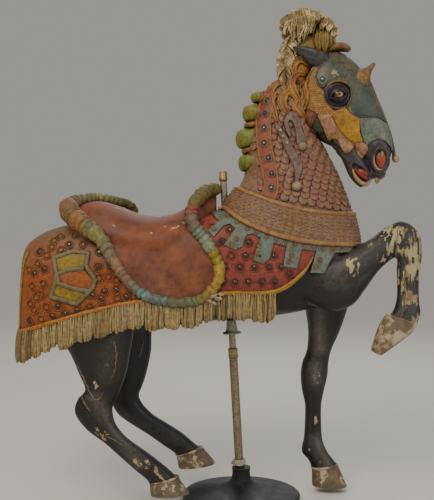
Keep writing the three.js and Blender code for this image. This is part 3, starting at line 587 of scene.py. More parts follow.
def finished_piece(name: str, shape: Shape, material: bpy.types.Material,
                   stands_for: Sequence[str] = (), crease: float = 42.0,
                   values: dict[str, np.ndarray] | None = None) -> bpy.types.Object:
    """A piece of the horse in metres, dressed and riding on the part.

    Args:
        name: the piece's name.
        shape: its mesh in millimetres.
        material: its finish.
        stands_for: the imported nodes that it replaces.
        crease: edges sharper than this many degrees stay sharp.
        values: named numbers for each point, for the material.
    """
    mesh = bpy.data.meshes.new(name)
    mesh.from_pydata((shape.points * MM).tolist(), [], shape.faces)
    for key, numbers in (values or {}).items():
        mesh.attributes.new(key, "FLOAT", "POINT").data.foreach_set("value",
                                                                    np.asarray(numbers, np.float32))
    bare = bmesh.new()
    bare.from_mesh(mesh)
    bmesh.ops.recalc_face_normals(bare, faces=bare.faces)
    bare.to_mesh(mesh)
    bare.free()
    piece = bpy.data.objects.new(name, mesh)
    bpy.context.scene.collection.objects.link(piece)
    mesh.materials.append(material)
    bpy.ops.object.select_all(action="DESELECT")
    piece.select_set(True)
    bpy.context.view_layer.objects.active = piece
    bpy.ops.object.shade_smooth_by_angle(angle=math.radians(crease))
    if stands_for:
        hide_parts(*stands_for)
    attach(piece, BODY)
    log.info("%s: %d faces", name, len(mesh.polygons))
    return piece


def carved_piece(name: str, shape: Shape, finish: "OilPaint | OldMetal", crease: float = 42.0,
                 values: dict[str, np.ndarray] | None = None) -> bpy.types.Object:
    """A finished piece that is part of the one wood carving."""
    return finished_piece(name, shape, finish.material(), ["horse"], crease, values)


# Finishes.


def linear(code: str) -> tuple[float, float, float, float]:
    """An sRGB hex colour as linear light."""
    parts = [int(code.lstrip("#")[i:i + 2], 16) / 255 for i in (0, 2, 4)]
    light = [p / 12.92 if p <= 0.04045 else ((p + 0.055) / 1.055) ** 2.4 for p in parts]
    return (*light, 1.0)


Socket = bpy.types.NodeSocket
Tree = bpy.types.NodeTree


def add(tree: Tree, kind: str, inputs: dict[str | int, object] | None = None, out: str | int = 0,
        bands: Sequence[tuple[float, str]] = (), **settings: object) -> Socket:
    """Adds one shader node.

    Args:
        tree: the material's nodes.
        kind: the node's type, without its ShaderNode prefix.
        inputs: for each input a number, a hex colour, or the output that feeds it.
        out: which output to return.
        bands: for a colour ramp, its places and hex colours.
        settings: its other properties.

    Returns:
        The chosen output.
    """
    made = tree.nodes.new("ShaderNode" + kind)
    for key, value in settings.items():
        setattr(made, key, value)
    for key, value in (inputs or {}).items():
        if isinstance(value, bpy.types.NodeSocket):
            tree.links.new(value, made.inputs[key])
        else:
            made.inputs[key].default_value = linear(value) if isinstance(value, str) else value
    for index, (place, code) in enumerate(bands):
        stops = made.color_ramp.elements
        while len(stops) < len(bands):
            stops.new(1.0)
        stops[index].position = place
        stops[index].color = linear(code)
    return made.outputs[out]


def started(name: str) -> tuple[bpy.types.Material, Tree, bpy.types.Node]:
    """A new material, its nodes and its shader."""
    made = bpy.data.materials.new(name)
    made.use_nodes = True
    return made, made.node_tree, made.node_tree.nodes["Principled BSDF"]


@dataclass(frozen=True)
class OilPaint:
    """Oil paint brushed on carved basswood, a century old.

    The eye sees brush-uneven colour, a net of age cracks, painted shade in every hollow,
    bare gesso where hands and feet have rubbed, and a yellowed varnish that is dull and shiny by turns.
    """

    name: str
    colour: str
    faded: str
    bare: str = "#a98d60"
    grime_and_shade: str = "#231a12"
    worn: float = 0.35
    hollow_shade: float = 0.75
    cloud_mm: float = 70.0
    crackle_mm: float = 16.0
    roughness: float = 0.5
    worn_places: str = ""
    mottle_mm: float = 11.0
    cracked: float = 0.7

    def ground(self, tree: Tree, place: Socket) -> Socket:
        """The paint's own colour before age."""
        cloud = add(tree, "TexNoise", {"Vector": place, "Scale": 1 / (self.cloud_mm * MM), "Detail": 4.0})
        share = add(tree, "MapRange", {0: cloud, 1: 0.36, 2: 0.68})
        return add(tree, "Mix", {0: share, 6: self.colour, 7: self.faded}, 2, data_type="RGBA")

    def material(self) -> bpy.types.Material:
        """The finish as a Blender material."""
        made, tree, shader = started(self.name)
        place = add(tree, "TexCoord", out="Object")
        colour = self.ground(tree, place)

        # Brush marks and mottling.
        mottle = add(tree, "TexNoise", {
            "Vector": place, "Scale": 1 / (self.mottle_mm * MM), "Detail": 6.0, "Roughness": 0.65})
        shade = add(tree, "MapRange", {0: mottle, 1: 0.3, 2: 0.7})
        dark = add(tree, "Mix", {0: 1.0, 6: colour, 7: "#9a948c"}, 2, data_type="RGBA",
                   blend_type="MULTIPLY")
        colour = add(tree, "Mix", {0: shade, 6: dark, 7: colour}, 2, data_type="RGBA")

        # Age cracks: a net of hair lines, drawn half a millimetre wide so that they show.
        bent = add(tree, "TexNoise", {"Vector": place, "Scale": 1 / 0.02, "Detail": 2.0}, "Color")
        bent = add(tree, "Mix", {0: 0.012, 4: place, 5: bent}, 1, data_type="VECTOR")
        net = add(tree, "TexVoronoi", {"Vector": bent, "Scale": 1 / (self.crackle_mm * MM)},
                  feature="DISTANCE_TO_EDGE")
        crack = add(tree, "MapRange", {0: net, 1: 0.0, 2: 0.035, 3: 1.0, 4: 0.0})
        few = add(tree, "MapRange", {0: mottle, 1: 0.45, 2: 0.62, 3: 0.0, 4: self.cracked})
        crack = add(tree, "Math", {0: crack, 1: few}, operation="MULTIPLY")
        colour = add(tree, "Mix", {0: crack, 6: colour, 7: self.grime_and_shade}, 2, data_type="RGBA")

        # Rubbed edges and patches show the gesso.
        chips = add(tree, "TexNoise", {"Vector": place, "Scale": 1 / 0.02, "Detail": 10.0,
                                       "Roughness": 0.72})
        flakes = add(tree, "TexNoise", {"Vector": place, "Scale": 1 / 0.055, "Detail": 5.0,
                                        "Roughness": 0.6})
        edge = add(tree, "MapRange", {0: add(tree, "NewGeometry", out="Pointiness"), 1: 0.5, 2: 0.62})
        rub = add(tree, "Math", {0: edge, 1: 0.5 * self.worn}, operation="MULTIPLY")
        rub = add(tree, "Math", {0: chips, 1: 0.55, 2: rub}, operation="MULTIPLY_ADD")
        if self.worn_places:
            spots = add(tree, "Attribute", out="Fac", attribute_name=self.worn_places)
            share = add(tree, "MapRange", {0: flakes, 1: 0.38, 2: 0.62, 3: 0.1, 4: 0.5})
            spots = add(tree, "Math", {0: spots, 1: share}, operation="MULTIPLY")
            rub = add(tree, "Math", {0: spots, 1: rub}, operation="ADD")
        limit = 0.56 - 0.13 * self.worn
        bare = add(tree, "MapRange", {0: rub, 1: limit, 2: limit + 0.035})
        soiled = add(tree, "Mix", {0: 1.0, 6: self.bare, 7: "#8d7a5c"}, 2, data_type="RGBA",
                     blend_type="MULTIPLY")
        wood = add(tree, "MapRange", {0: flakes, 1: 0.42, 2: 0.58})
        gesso = add(tree, "Mix", {0: wood, 6: soiled, 7: self.bare}, 2, data_type="RGBA")
        colour = add(tree, "Mix", {0: bare, 6: colour, 7: gesso}, 2, data_type="RGBA")

        # Painted shade: hollows are darkened towards the grime colour, up to a centimetre or so from what
        # shades them.
        shelter = add(tree, "AmbientOcclusion", {"Distance": 0.014}, "AO", samples=4)
        hollow = add(tree, "MapRange", {0: shelter, 1: 0.35, 2: 0.92, 3: self.hollow_shade, 4: 0.0})
        colour = add(tree, "Mix", {0: hollow, 6: colour, 7: self.grime_and_shade}, 2, data_type="RGBA")
        tree.links.new(colour, shader.inputs["Base Color"])

        gloss = add(tree, "MapRange", {0: mottle, 1: 0.3, 2: 0.7, 3: self.roughness - 0.12,
                                       4: self.roughness + 0.14})
        tree.links.new(gloss, shader.inputs["Roughness"])
        shader.inputs["Specular IOR Level"].default_value = 0.4
        relief = add(tree, "Math", {0: crack, 1: -0.6, 2: mottle}, operation="MULTIPLY_ADD")
        relief = add(tree, "Math", {0: bare, 1: -0.5, 2: relief}, operation="MULTIPLY_ADD")
        bump = add(tree, "Bump", {"Height": relief, "Strength": 0.55, "Distance": 0.0012})
        tree.links.new(bump, shader.inputs["Normal"])
        return made


@dataclass(frozen=True)
class TwoFieldPaint(OilPaint):
    """Oil paint in one colour in front and another behind, as on the cloth before and behind the saddle."""

    behind: str = "#9a5220"
    behind_top: str = "#8a6038"
    divide_x: float = -0.3
    top_z: float = 0.86

    def ground(self, tree: Tree, place: Socket) -> Socket:
        """Red before the saddle, orange behind it, and browner towards the top of the rump."""
        front = super().ground(tree, place)
        cloud = add(tree, "TexNoise", {"Vector": place, "Scale": 1 / 0.08, "Detail": 5.0})
        level = add(tree, "SeparateXYZ", {0: place}, "Z")
        along = add(tree, "SeparateXYZ", {0: place}, "X")
        height = add(tree, "Math", {0: cloud, 1: 0.16, 2: level}, operation="MULTIPLY_ADD")
        # The rear colour turns to a greyer brown towards the top of the rump.
        upper = add(tree, "MapRange", {0: height, 1: self.top_z, 2: self.top_z + 0.13})
        rear = add(tree, "Mix", {0: upper, 6: self.behind, 7: self.behind_top}, 2, data_type="RGBA")
        before = add(tree, "MapRange", {0: along, 1: self.divide_x - 0.01, 2: self.divide_x + 0.01})
        return add(tree, "Mix", {0: before, 6: rear, 7: front}, 2, data_type="RGBA")


@dataclass(frozen=True)
class BandedPaint(OilPaint):
    """Oil paint whose colour changes along the piece, by a number stored in its mesh."""

    bands: tuple[tuple[float, str], ...] = ()
    along: str = "along"

    def ground(self, tree: Tree, place: Socket) -> Socket:
        """Reads the colour from the bands, blurred a little as a brush leaves it."""
        number = add(tree, "Attribute", out="Fac", attribute_name=self.along)
        blur = add(tree, "TexNoise", {"Vector": place, "Scale": 1 / 0.03, "Detail": 3.0})
        number = add(tree, "Math", {0: blur, 1: 0.02, 2: number}, operation="MULTIPLY_ADD")
        number = add(tree, "Math", {0: number, 1: 0.01}, operation="SUBTRACT")
        banded = add(tree, "ValToRGB", {0: number}, "Color", self.bands)
        cloud = add(tree, "TexNoise", {"Vector": place, "Scale": 1 / 0.05, "Detail": 4.0})
        share = add(tree, "MapRange", {0: cloud, 1: 0.5, 2: 0.8, 3: 0.0, 4: 0.35})
        faded = super().ground(tree, place)
        return add(tree, "Mix", {0: share, 6: banded, 7: faded}, 2, data_type="RGBA")


@dataclass(frozen=True)
class Glass:
    """Cut or blown glass that is foiled behind, so that it looks dark and wet and isn't seen through."""

    name: str
    colour: str
    roughness: float = 0.08

    def material(self) -> bpy.types.Material:
        """The finish as a Blender material."""
        made, tree, shader = started(self.name)
        place = add(tree, "TexCoord", out="Object")
        cloud = add(tree, "TexNoise", {"Vector": place, "Scale": 1 / 0.03, "Detail": 2.0})
        share = add(tree, "MapRange", {0: cloud, 1: 0.4, 2: 0.6})
        colour = add(tree, "Mix", {0: share, 6: self.colour, 7: "#10120f"}, 2, data_type="RGBA")
        tree.links.new(colour, shader.inputs["Base Color"])
        shader.inputs["Roughness"].default_value = self.roughness
        shader.inputs["IOR"].default_value = 1.52
        shader.inputs["Specular IOR Level"].default_value = 0.8
        return made


@dataclass(frozen=True)
class EyeGlass(Glass):
    """A glass eye: black pupil, amber iris, and brown-black to its rim."""

    bands: tuple[tuple[float, str], ...] = (
        (0.0, "#0a0706"), (0.2, "#0c0807"), (0.25, "#a86c1a"), (0.4, "#6e3f10"), (0.5, "#1d120b"),
        (1.0, "#0d0a08"))

    def material(self) -> bpy.types.Material:
        """The finish as a Blender material, coloured by the distance from the gaze."""
        made = super().material()
        tree = made.node_tree
        distance = add(tree, "Attribute", out="Fac", attribute_name="gaze")
        streaks = add(tree, "TexNoise", {"Scale": 1 / 0.003, "Detail": 2.0})
        distance = add(tree, "Math", {0: streaks, 1: 0.06, 2: distance}, operation="MULTIPLY_ADD")
        iris = add(tree, "ValToRGB", {0: distance}, "Color", self.bands)
        tree.links.new(iris, tree.nodes["Principled BSDF"].inputs["Base Color"])
        return made


@dataclass(frozen=True)
class OldMetal:
    """Iron, steel or brass with old paint or tarnish, rubbed to metal on its edges."""

    name: str
    colour: str
    metal: str
    metallic: float
    roughness: float
    rubbed: float = 0.4

    def material(self) -> bpy.types.Material:
        """The finish as a Blender material."""
        made, tree, shader = started(self.name)
        place = add(tree, "TexCoord", out="Object")
        stains = add(tree, "TexNoise", {"Vector": place, "Scale": 1 / 0.035, "Detail": 8.0,
                                        "Roughness": 0.7})
        pits = add(tree, "TexNoise", {"Vector": place, "Scale": 1 / 0.004, "Detail": 4.0})
        edge = add(tree, "MapRange", {0: add(tree, "NewGeometry", out="Pointiness"), 1: 0.51, 2: 0.6})
        rub = add(tree, "Math", {0: edge, 1: self.rubbed, 2: stains}, operation="MULTIPLY_ADD")
        rub = add(tree, "MapRange", {0: rub, 1: 0.56, 2: 0.66})
        colour = add(tree, "Mix", {0: rub, 6: self.colour, 7: self.metal}, 2, data_type="RGBA")
        dull = add(tree, "Mix", {0: 1.0, 6: colour, 7: "#9c948a"}, 2, data_type="RGBA",
                   blend_type="MULTIPLY")
        pitted = add(tree, "MapRange", {0: pits, 1: 0.35, 2: 0.65})
        colour = add(tree, "Mix", {0: pitted, 6: dull, 7: colour}, 2, data_type="RGBA")
        # Painted shade: hollows near other parts are darkened towards a dark brown.
        shelter = add(tree, "AmbientOcclusion", {"Distance": 0.012}, "AO", samples=4)
        hollow = add(tree, "MapRange", {0: shelter, 1: 0.4, 2: 0.9, 3: 0.6, 4: 0.0})
        colour = add(tree, "Mix", {0: hollow, 6: colour, 7: "#1d1711"}, 2, data_type="RGBA")
        tree.links.new(colour, shader.inputs["Base Color"])
        shader.inputs["Metallic"].default_value = self.metallic
        rough = add(tree, "MapRange", {0: stains, 1: 0.35, 2: 0.65, 3: self.roughness - 0.1,
                                       4: self.roughness + 0.12})
        tree.links.new(rough, shader.inputs["Roughness"])
        bump = add(tree, "Bump", {"Height": pits, "Strength": 0.3, "Distance": 0.0006})
        tree.links.new(bump, shader.inputs["Normal"])
        return made


# The horse's forms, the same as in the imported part.

CLOTH = Loft(uprights([
    (-734, 440, 802, 74), (-725, 428, 842, 108), (-700, 420, 872, 140), (-640, 420, 905, 160),
    (-540, 440, 929, 168), (-400, 480, 938, 169), (-250, 510, 945, 168), (-100, 540, 965, 166),
    (20, 560, 985, 161), (120, 575, 990, 154), (220, 590, 975, 144), (300, 610, 950, 130),
    (360, 650, 920, 108), (393, 720, 890, 68),
]), 2.9)
BARE_BODY = Loft(uprights([
    (-700, 640, 850, 90), (-640, 590, 890, 130), (-520, 585, 915, 150), (-380, 605, 925, 154),
    (-200, 600, 930, 155), (-30, 604, 955, 153), (110, 618, 975, 148), (220, 638, 960, 140),
    (310, 672, 935, 122), (370, 725, 905, 92), (397, 790, 860, 42),
]), 2.4)
NECK = Loft([
    (150, 1425, 290, 1300, 50), (98, 1392, 262, 1228, 62), (54, 1320, 283, 1178, 72),
    (24, 1240, 303, 1138, 82), (14, 1160, 328, 1088, 94), (10, 1090, 352, 1028, 106),
    (-20, 1038, 373, 966, 120), (-76, 960, 391, 890, 131), (-110, 860, 396, 815, 128),
], 2.2)
CLOTH_EDGE = 5.0
HEM = [(-716, 577), (-588, 619), (-459, 655), (-330, 680), (-201, 686), (-66, 705), (80, 707),
       (140, 726), (200, 776), (230, 826)]
COLLAR_TOP = [(-30, 1056), (68, 1013), (150, 987), (222, 972), (299, 964), (440, 962)]
COLLAR_FOOT = [(-84, 1006), (-8, 946), (68, 910), (150, 884), (222, 871), (299, 864), (440, 858)]
FRINGE_END_X = 104.0


def height_at(line: np.ndarray, x: float) -> float:
    """The height of a side-view line at an x."""
    return float(np.interp(x, line[:, 0], line[:, 1]))


HEM_LINE = even_line(HEM, 160)
COLLAR_TOP_LINE = even_line(COLLAR_TOP, 120)
COLLAR_FOOT_LINE = even_line(COLLAR_FOOT, 120)


def belt(surface: Surface, line: np.ndarray, start_x: float, corner_x: float, step: float,
         rear: bool) -> np.ndarray:
    """A line that runs round the horse at the height of a side-view line.

    Args:
        surface: what it lies on.
        line: its height along x.
        start_x: where it starts and ends, on the two sides.
        corner_x: the middle of the turn round the rump or the chest.
        step: the distance between its points.
        rear: whether it runs round the rump, and not the chest.

    Returns:
        For each point its place and the outward direction, six numbers.
    """
    xs = np.arange(start_x, corner_x, -step if rear else step)
    sides = {}
    for side in (NEAR, FAR):
        sides[side] = [surface.side(x, height_at(line, x), side) for x in xs]
    half_turn = -math.pi if rear else math.pi
    turn = np.linspace(-math.pi / 2, half_turn - math.pi / 2, CORNER_POINTS)
    corner = [surface.round((corner_x, 0.0), angle, lambda x: height_at(line, x)) for angle in turn]
    rows = sides[NEAR] + corner + sides[FAR][::-1]
    data = np.array([np.concatenate(row) for row in rows])
    length = np.concatenate([[0], np.cumsum(np.linalg.norm(np.diff(data[:, :3], axis=0), axis=1))])
    goals = np.arange(0, length[-1], step)
    even = np.stack([np.interp(goals, length, data[:, k]) for k in range(6)], 1)
    for _ in range(2):
        even[1:-1] = (even[:-2] + 2 * even[1:-1] + even[2:]) / 4
    even[:, 3:] = unit(even[:, 3:])
    return even


LEG_CUTS = {
    "near_hind": [
        (-655, 690, -340, 690, 58, -105), (-614, 580, -356, 566, 58, -105),
        (-566, 508, -368, 498, 52, -105), (-536, 440, -381, 433, 44, -105),
        (-515, 385, -404, 374, 35, -105), (-540, 352, -424, 328, 32, -105),
        (-548, 308, -420, 288, 33, -105), (-510, 255, -408, 262, 30, -106),
        (-455, 214, -378, 228, 26, -107), (-400, 166, -330, 194, 24, -108),
        (-352, 124, -286, 162, 27, -109), (-312, 92, -244, 128, 28, -110), (-300, 72, -212, 98, 31, -110)],
    "far_hind": [
        (-630, 680, -296, 680, 58, 105), (-564, 558, -311, 555, 56, 105), (-511, 485, -314, 478, 50, 105),
        (-466, 400, -335, 386, 42, 105), (-444, 340, -356, 330, 35, 105), (-452, 302, -349, 304, 32, 105),
        (-428, 258, -334, 284, 32, 105), (-378, 222, -306, 258, 27, 105), (-318, 184, -258, 228, 24, 105),
        (-270, 150, -208, 196, 26, 105), (-232, 124, -168, 162, 28, 105), (-222, 104, -140, 140, 31, 105)],
    "standing_fore": [
        (215, 740, 396, 750, 62, 70), (218, 690, 388, 697, 58, 70), (226, 629, 370, 629, 51, 70),
        (235, 560, 346, 560, 44, 70), (231, 492, 316, 492, 39, 70), (215, 448, 306, 448, 38, 70),
        (209, 405, 302, 400, 37, 70), (213, 352, 290, 350, 31, 70), (224, 300, 281, 300, 26, 70),
        (223, 230, 281, 230, 25, 70), (220, 184, 285, 180, 27, 70), (214, 142, 300, 140, 32, 70),
        (236, 108, 320, 112, 29, 70), (250, 76, 342, 84, 33, 70)],
    "raised_fore": [
        (150, 712, 155, 800, 26, -91), (215, 668, 222, 820, 50, -89), (296, 640, 300, 826, 60, -91),
        (363, 662, 352, 846, 57, -95), (404, 712, 396, 864, 51, -95), (446, 770, 434, 888, 43, -95),
        (484, 806, 474, 918, 37, -95), (506, 818, 528, 938, 35, -95), (512, 806, 580, 902, 34, -95),
        (510, 778, 592, 832, 31, -95), (511, 738, 583, 750, 27, -95), (510, 684, 583, 680, 26, -95),
        (498, 642, 588, 634, 31, -95), (474, 622, 574, 594, 30, -95)],
}
HOOF_CUTS = {
    "near_hind": [(-304, 84, -210, 106, 33, -110), (-302, 66, -196, 80, 38, -110),
                  (-299, 39, -171, 47, 43, -110)],
    "far_hind": [(-226, 118, -136, 148, 33, 105), (-222, 98, -114, 122, 37, 105),
                 (-216, 70, -86, 87, 42, 105)],
    "standing_fore": [(246, 86, 336, 96, 34, 70), (248, 60, 350, 66, 39, 70), (249, 20, 370, 16, 45, 70)],
    "raised_fore": [(480, 634, 580, 604, 32, -95), (456, 606, 556, 566, 38, -95),
                    (424, 512, 458, 497, 40, -95)],
}


@dataclass
class BareHorse:
    """The body, chest and legs, which are painted black, and the four hooves."""

    voxel: float = 6.0
    leg_rings: int = 90
    leg_sides: int = 28
    tendons: Sequence[Stroke] = (
        # Near hind leg: the hollow before the hock's cord, the hock's bones and the cannon's tendons.
        Stroke([(-480, -140, 440), (-500, -138, 380)], 16, -5),
        Stroke([(-470, -138, 340), (-450, -138, 290)], 16, 4),
        Stroke([(-455, -134, 262), (-360, -134, 170)], 7, -4),
        Stroke([(-430, -150, 560), (-440, -148, 480)], 26, 6),
        Stroke([(-300, -140, 120), (-262, -142, 108)], 12, 3),
        # Standing foreleg: the forearm's muscles, the knee's bones, the tendons and the fetlock.
        Stroke([(300, 30, 640), (285, 32, 520)], 14, -5),
        Stroke([(262, 28, 660), (256, 28, 560)], 20, 5),
        Stroke([(262, 30, 440), (258, 32, 400)], 18, 4),
        Stroke([(246, 42, 340), (243, 44, 200)], 6, -5),
        Stroke([(262, 45, 165), (266, 45, 150)], 16, 3),
        Stroke([(232, 70, 150), (228, 70, 138)], 14, 5),
        # Raised foreleg: the forearm, the knee and the tendons behind the cannon.
        Stroke([(360, -152, 800), (450, -140, 860)], 24, 6),
        Stroke([(340, -152, 730), (420, -144, 780)], 12, -5),
        Stroke([(540, -130, 880), (548, -128, 840)], 16, 4),
        Stroke([(533, -121, 770), (530, -122, 660)], 6, -5),
        Stroke([(548, -125, 620), (536, -128, 600)], 12, 3),
        # The shoulder's edge, the crease of the elbow and the breast's middle line.
        Stroke([(300, -150, 700), (250, -150, 690), (180, -150, 672)], 11, -7),
        Stroke([(395, -30, 800), (400, -30, 720)], 26, 6),
        Stroke([(395, 30, 800), (400, 30, 720)], 26, 6),
        Stroke([(402, 0, 840), (398, 0, 700)], 9, -7),
    )
    worn: Sequence[Stroke] = (
        # Bare gesso over most of the raised foreleg from the knee down, and by the shoulder's plug.
        Stroke([(545, -125, 900), (575, -122, 850), (568, -120, 760), (560, -120, 690)], 48, 1.4),
        Stroke([(530, -122, 840), (526, -120, 690)], 30, 1.3),
        Stroke([(585, -118, 650), (556, -125, 600), (520, -120, 600)], 44, 1.45),
        Stroke([(505, -130, 880), (466, -134, 836)], 40, 1.35),
        Stroke([(540, -120, 930), (480, -118, 915)], 34, 1.3),
        Stroke([(352, -156, 800), (360, -156, 775)], 34, 1.15),
        Stroke([(450, -130, 885), (410, -130, 860)], 26, 0.8),
        # The hind legs' brown worn places.
        Stroke([(-470, -148, 570), (-430, -146, 430)], 40, 0.45),
        Stroke([(-500, -140, 400), (-470, -138, 410)], 20, 0.8),
        Stroke([(-470, -134, 256), (-340, -134, 140)], 24, 1.0),
        Stroke([(-340, -138, 160), (-236, -142, 100)], 30, 1.0),
        # The far hind coronet, the standing leg's knee and fetlock.
        Stroke([(-206, 66, 168), (-150, 64, 158)], 10, 1.1),
        Stroke([(-390, 60, 276), (-330, 60, 236)], 9, 0.9),
        Stroke([(-320, 66, 244), (-262, 66, 200)], 8, 0.8),
        Stroke([(255, 34, 440), (262, 34, 380)], 32, 0.75),
        Stroke([(290, 32, 640), (285, 32, 560)], 24, 0.5),
        Stroke([(258, 42, 260), (250, 42, 200)], 14, 0.7),
        Stroke([(238, 42, 152), (246, 44, 142)], 8, 0.8),
        Stroke([(300, 32, 120), (270, 32, 98)], 20, 0.8),
    )
    scuffed: Sequence[Stroke] = (
        # Where hands and dust have greyed the black without baring the wood.
        Stroke([(300, -150, 760), (420, -140, 860)], 70, 0.8),
        Stroke([(262, 28, 660), (270, 30, 500)], 40, 1.0),
        Stroke([(255, 30, 440), (258, 32, 390)], 36, 1.0),
        Stroke([(262, 40, 180), (300, 36, 110)], 40, 0.9),
        Stroke([(-430, -150, 560), (-440, -148, 440)], 50, 0.6),
        Stroke([(-480, -140, 360), (-340, -138, 150)], 36, 0.9),
        Stroke([(-400, 60, 260), (-230, 60, 170)], 34, 0.8),
        Stroke([(540, -120, 900), (540, -120, 620)], 60, 0.7),
    )
    paint: BandedPaint = BandedPaint(
        "black_oil_paint_on_basswood", "#2b2724", "#3a342d", bare="#aa9a70", grime_and_shade="#141110",
        worn=0.12, hollow_shade=0.5, crackle_mm=26, roughness=0.42, worn_places="worn", along="scuffed",
        bands=((0.0, "#272422"), (0.35, "#2f2c2a"), (0.75, "#4c4842"), (1.0, "#67625a")))
    hoof_paint: OilPaint = OilPaint(
        "bare_rubbed_hoof_wood", "#8f7b5e", "#6d604d", bare="#b3a282", grime_and_shade="#241d17",
        worn=0.25, hollow_shade=0.9, cloud_mm=22, crackle_mm=14, roughness=0.62, worn_places="worn")
    split_paint: OilPaint = OilPaint(
        "pale_filler_in_splits", "#9a8a66", "#7a6a4e", worn=0.3, hollow_shade=0.9, cloud_mm=14, crackle_mm=8)
    splits: Sequence[Sequence[Row]] = (
        [(-549, 485), (-524, 447), (-500, 390), (-482, 362), (-465, 361), (-450, 383)],
        [(-415, 552), (-407, 510), (-412, 461), (-422, 430)],
        [(-337, 526), (-345, 490), (-352, 466)],
        [(-528, 376), (-514, 348), (-493, 320)],
        [(-447, 239), (-422, 229), (-387, 207)],
        [(510, 925), (502, 858), (507, 788), (512, 717)],
        [(532, 803), (532, 757), (530, 676), (515, 615)],
    )

    def leg(self, name: str) -> Shape:
        """One leg down to its coronet."""
        return Loft(LEG_CUTS[name], 2.25).shape(self.leg_rings, self.leg_sides)

    def hoof(self, name: str) -> Shape:
        """A hoof: a coronet's bead on top, straight walls and a rounded sole edge."""
        loft = Loft(HOOF_CUTS[name], 2.15)
        places = np.array([0.0, 0.06, 0.16, 0.26, 0.34, 0.45, 0.7, 1.0, 1.3, 1.6, 1.85, 1.95, 2.0])
        swell = np.array([-3.0, 0.8, 2.6, 2.4, 0.2, -0.8, -0.6, -0.3, 0.0, 0.2, 0.3, -0.6, -3.5])
        return skin(loft.rings(places, 44, swell))

    def streaks(self, points: np.ndarray) -> np.ndarray:
        """How readily paint flakes at each point: in streaks along the grain of each leg."""
        hind = (points[:, 0] < -150) & (points[:, 2] < 330)
        along = np.where(hind, (points[:, 0] - points[:, 2]) * 0.7, points[:, 2]) / 55
        over = np.where(hind, (points[:, 0] + points[:, 2]) * 0.7, points[:, 0]) / 8
        rows = np.stack([over, points[:, 1] / 8, along], 1)
        value = np.array([noise.noise(Vector(row)) + 0.5 * noise.noise(Vector(row) * 2.3) for row in rows])
        return 0.35 + 0.95 * smoothstep(value, -0.25, 0.35)

    def build(self) -> None:
        """Makes the black carving and its hooves."""
        parts = [BARE_BODY.shape(50, 48)] + [self.leg(name) for name in LEG_CUTS]
        body = carved(remeshed(gather(parts), self.voxel, 9), self.tendons)
        worn = stroked(body.points, self.worn) * self.streaks(body.points)
        values = {"worn": worn, "scuffed": stroked(body.points, self.scuffed)}
        carved_piece("black_body_and_legs", body, self.paint, values=values)
        surface = Surface(body)
        lines = []
        for split in self.splits:
            line = even_line(split, 40)
            wander = 2.5 * np.sin(np.arange(40) * 1.3) * np.sin(np.arange(40) * 0.37)
            path, _ = surface.line(line + np.stack([wander, 0 * wander], 1), NEAR)
            lines.append(tube(path, 2.4 * np.sin(np.linspace(0.15, 3.0, 40)) ** 0.6, 8))
        finished_piece("filled_splits", gather(lines), self.split_paint.material())
        dress = self.hoof_paint.material()
        for name in HOOF_CUTS:
            shape = self.hoof(name)
            wear = np.full(len(shape.points), 1.0 if name == "raised_fore" else 0.62)
            finished_piece(f"hoof_{name}", shape, dress, values={"worn": wear})


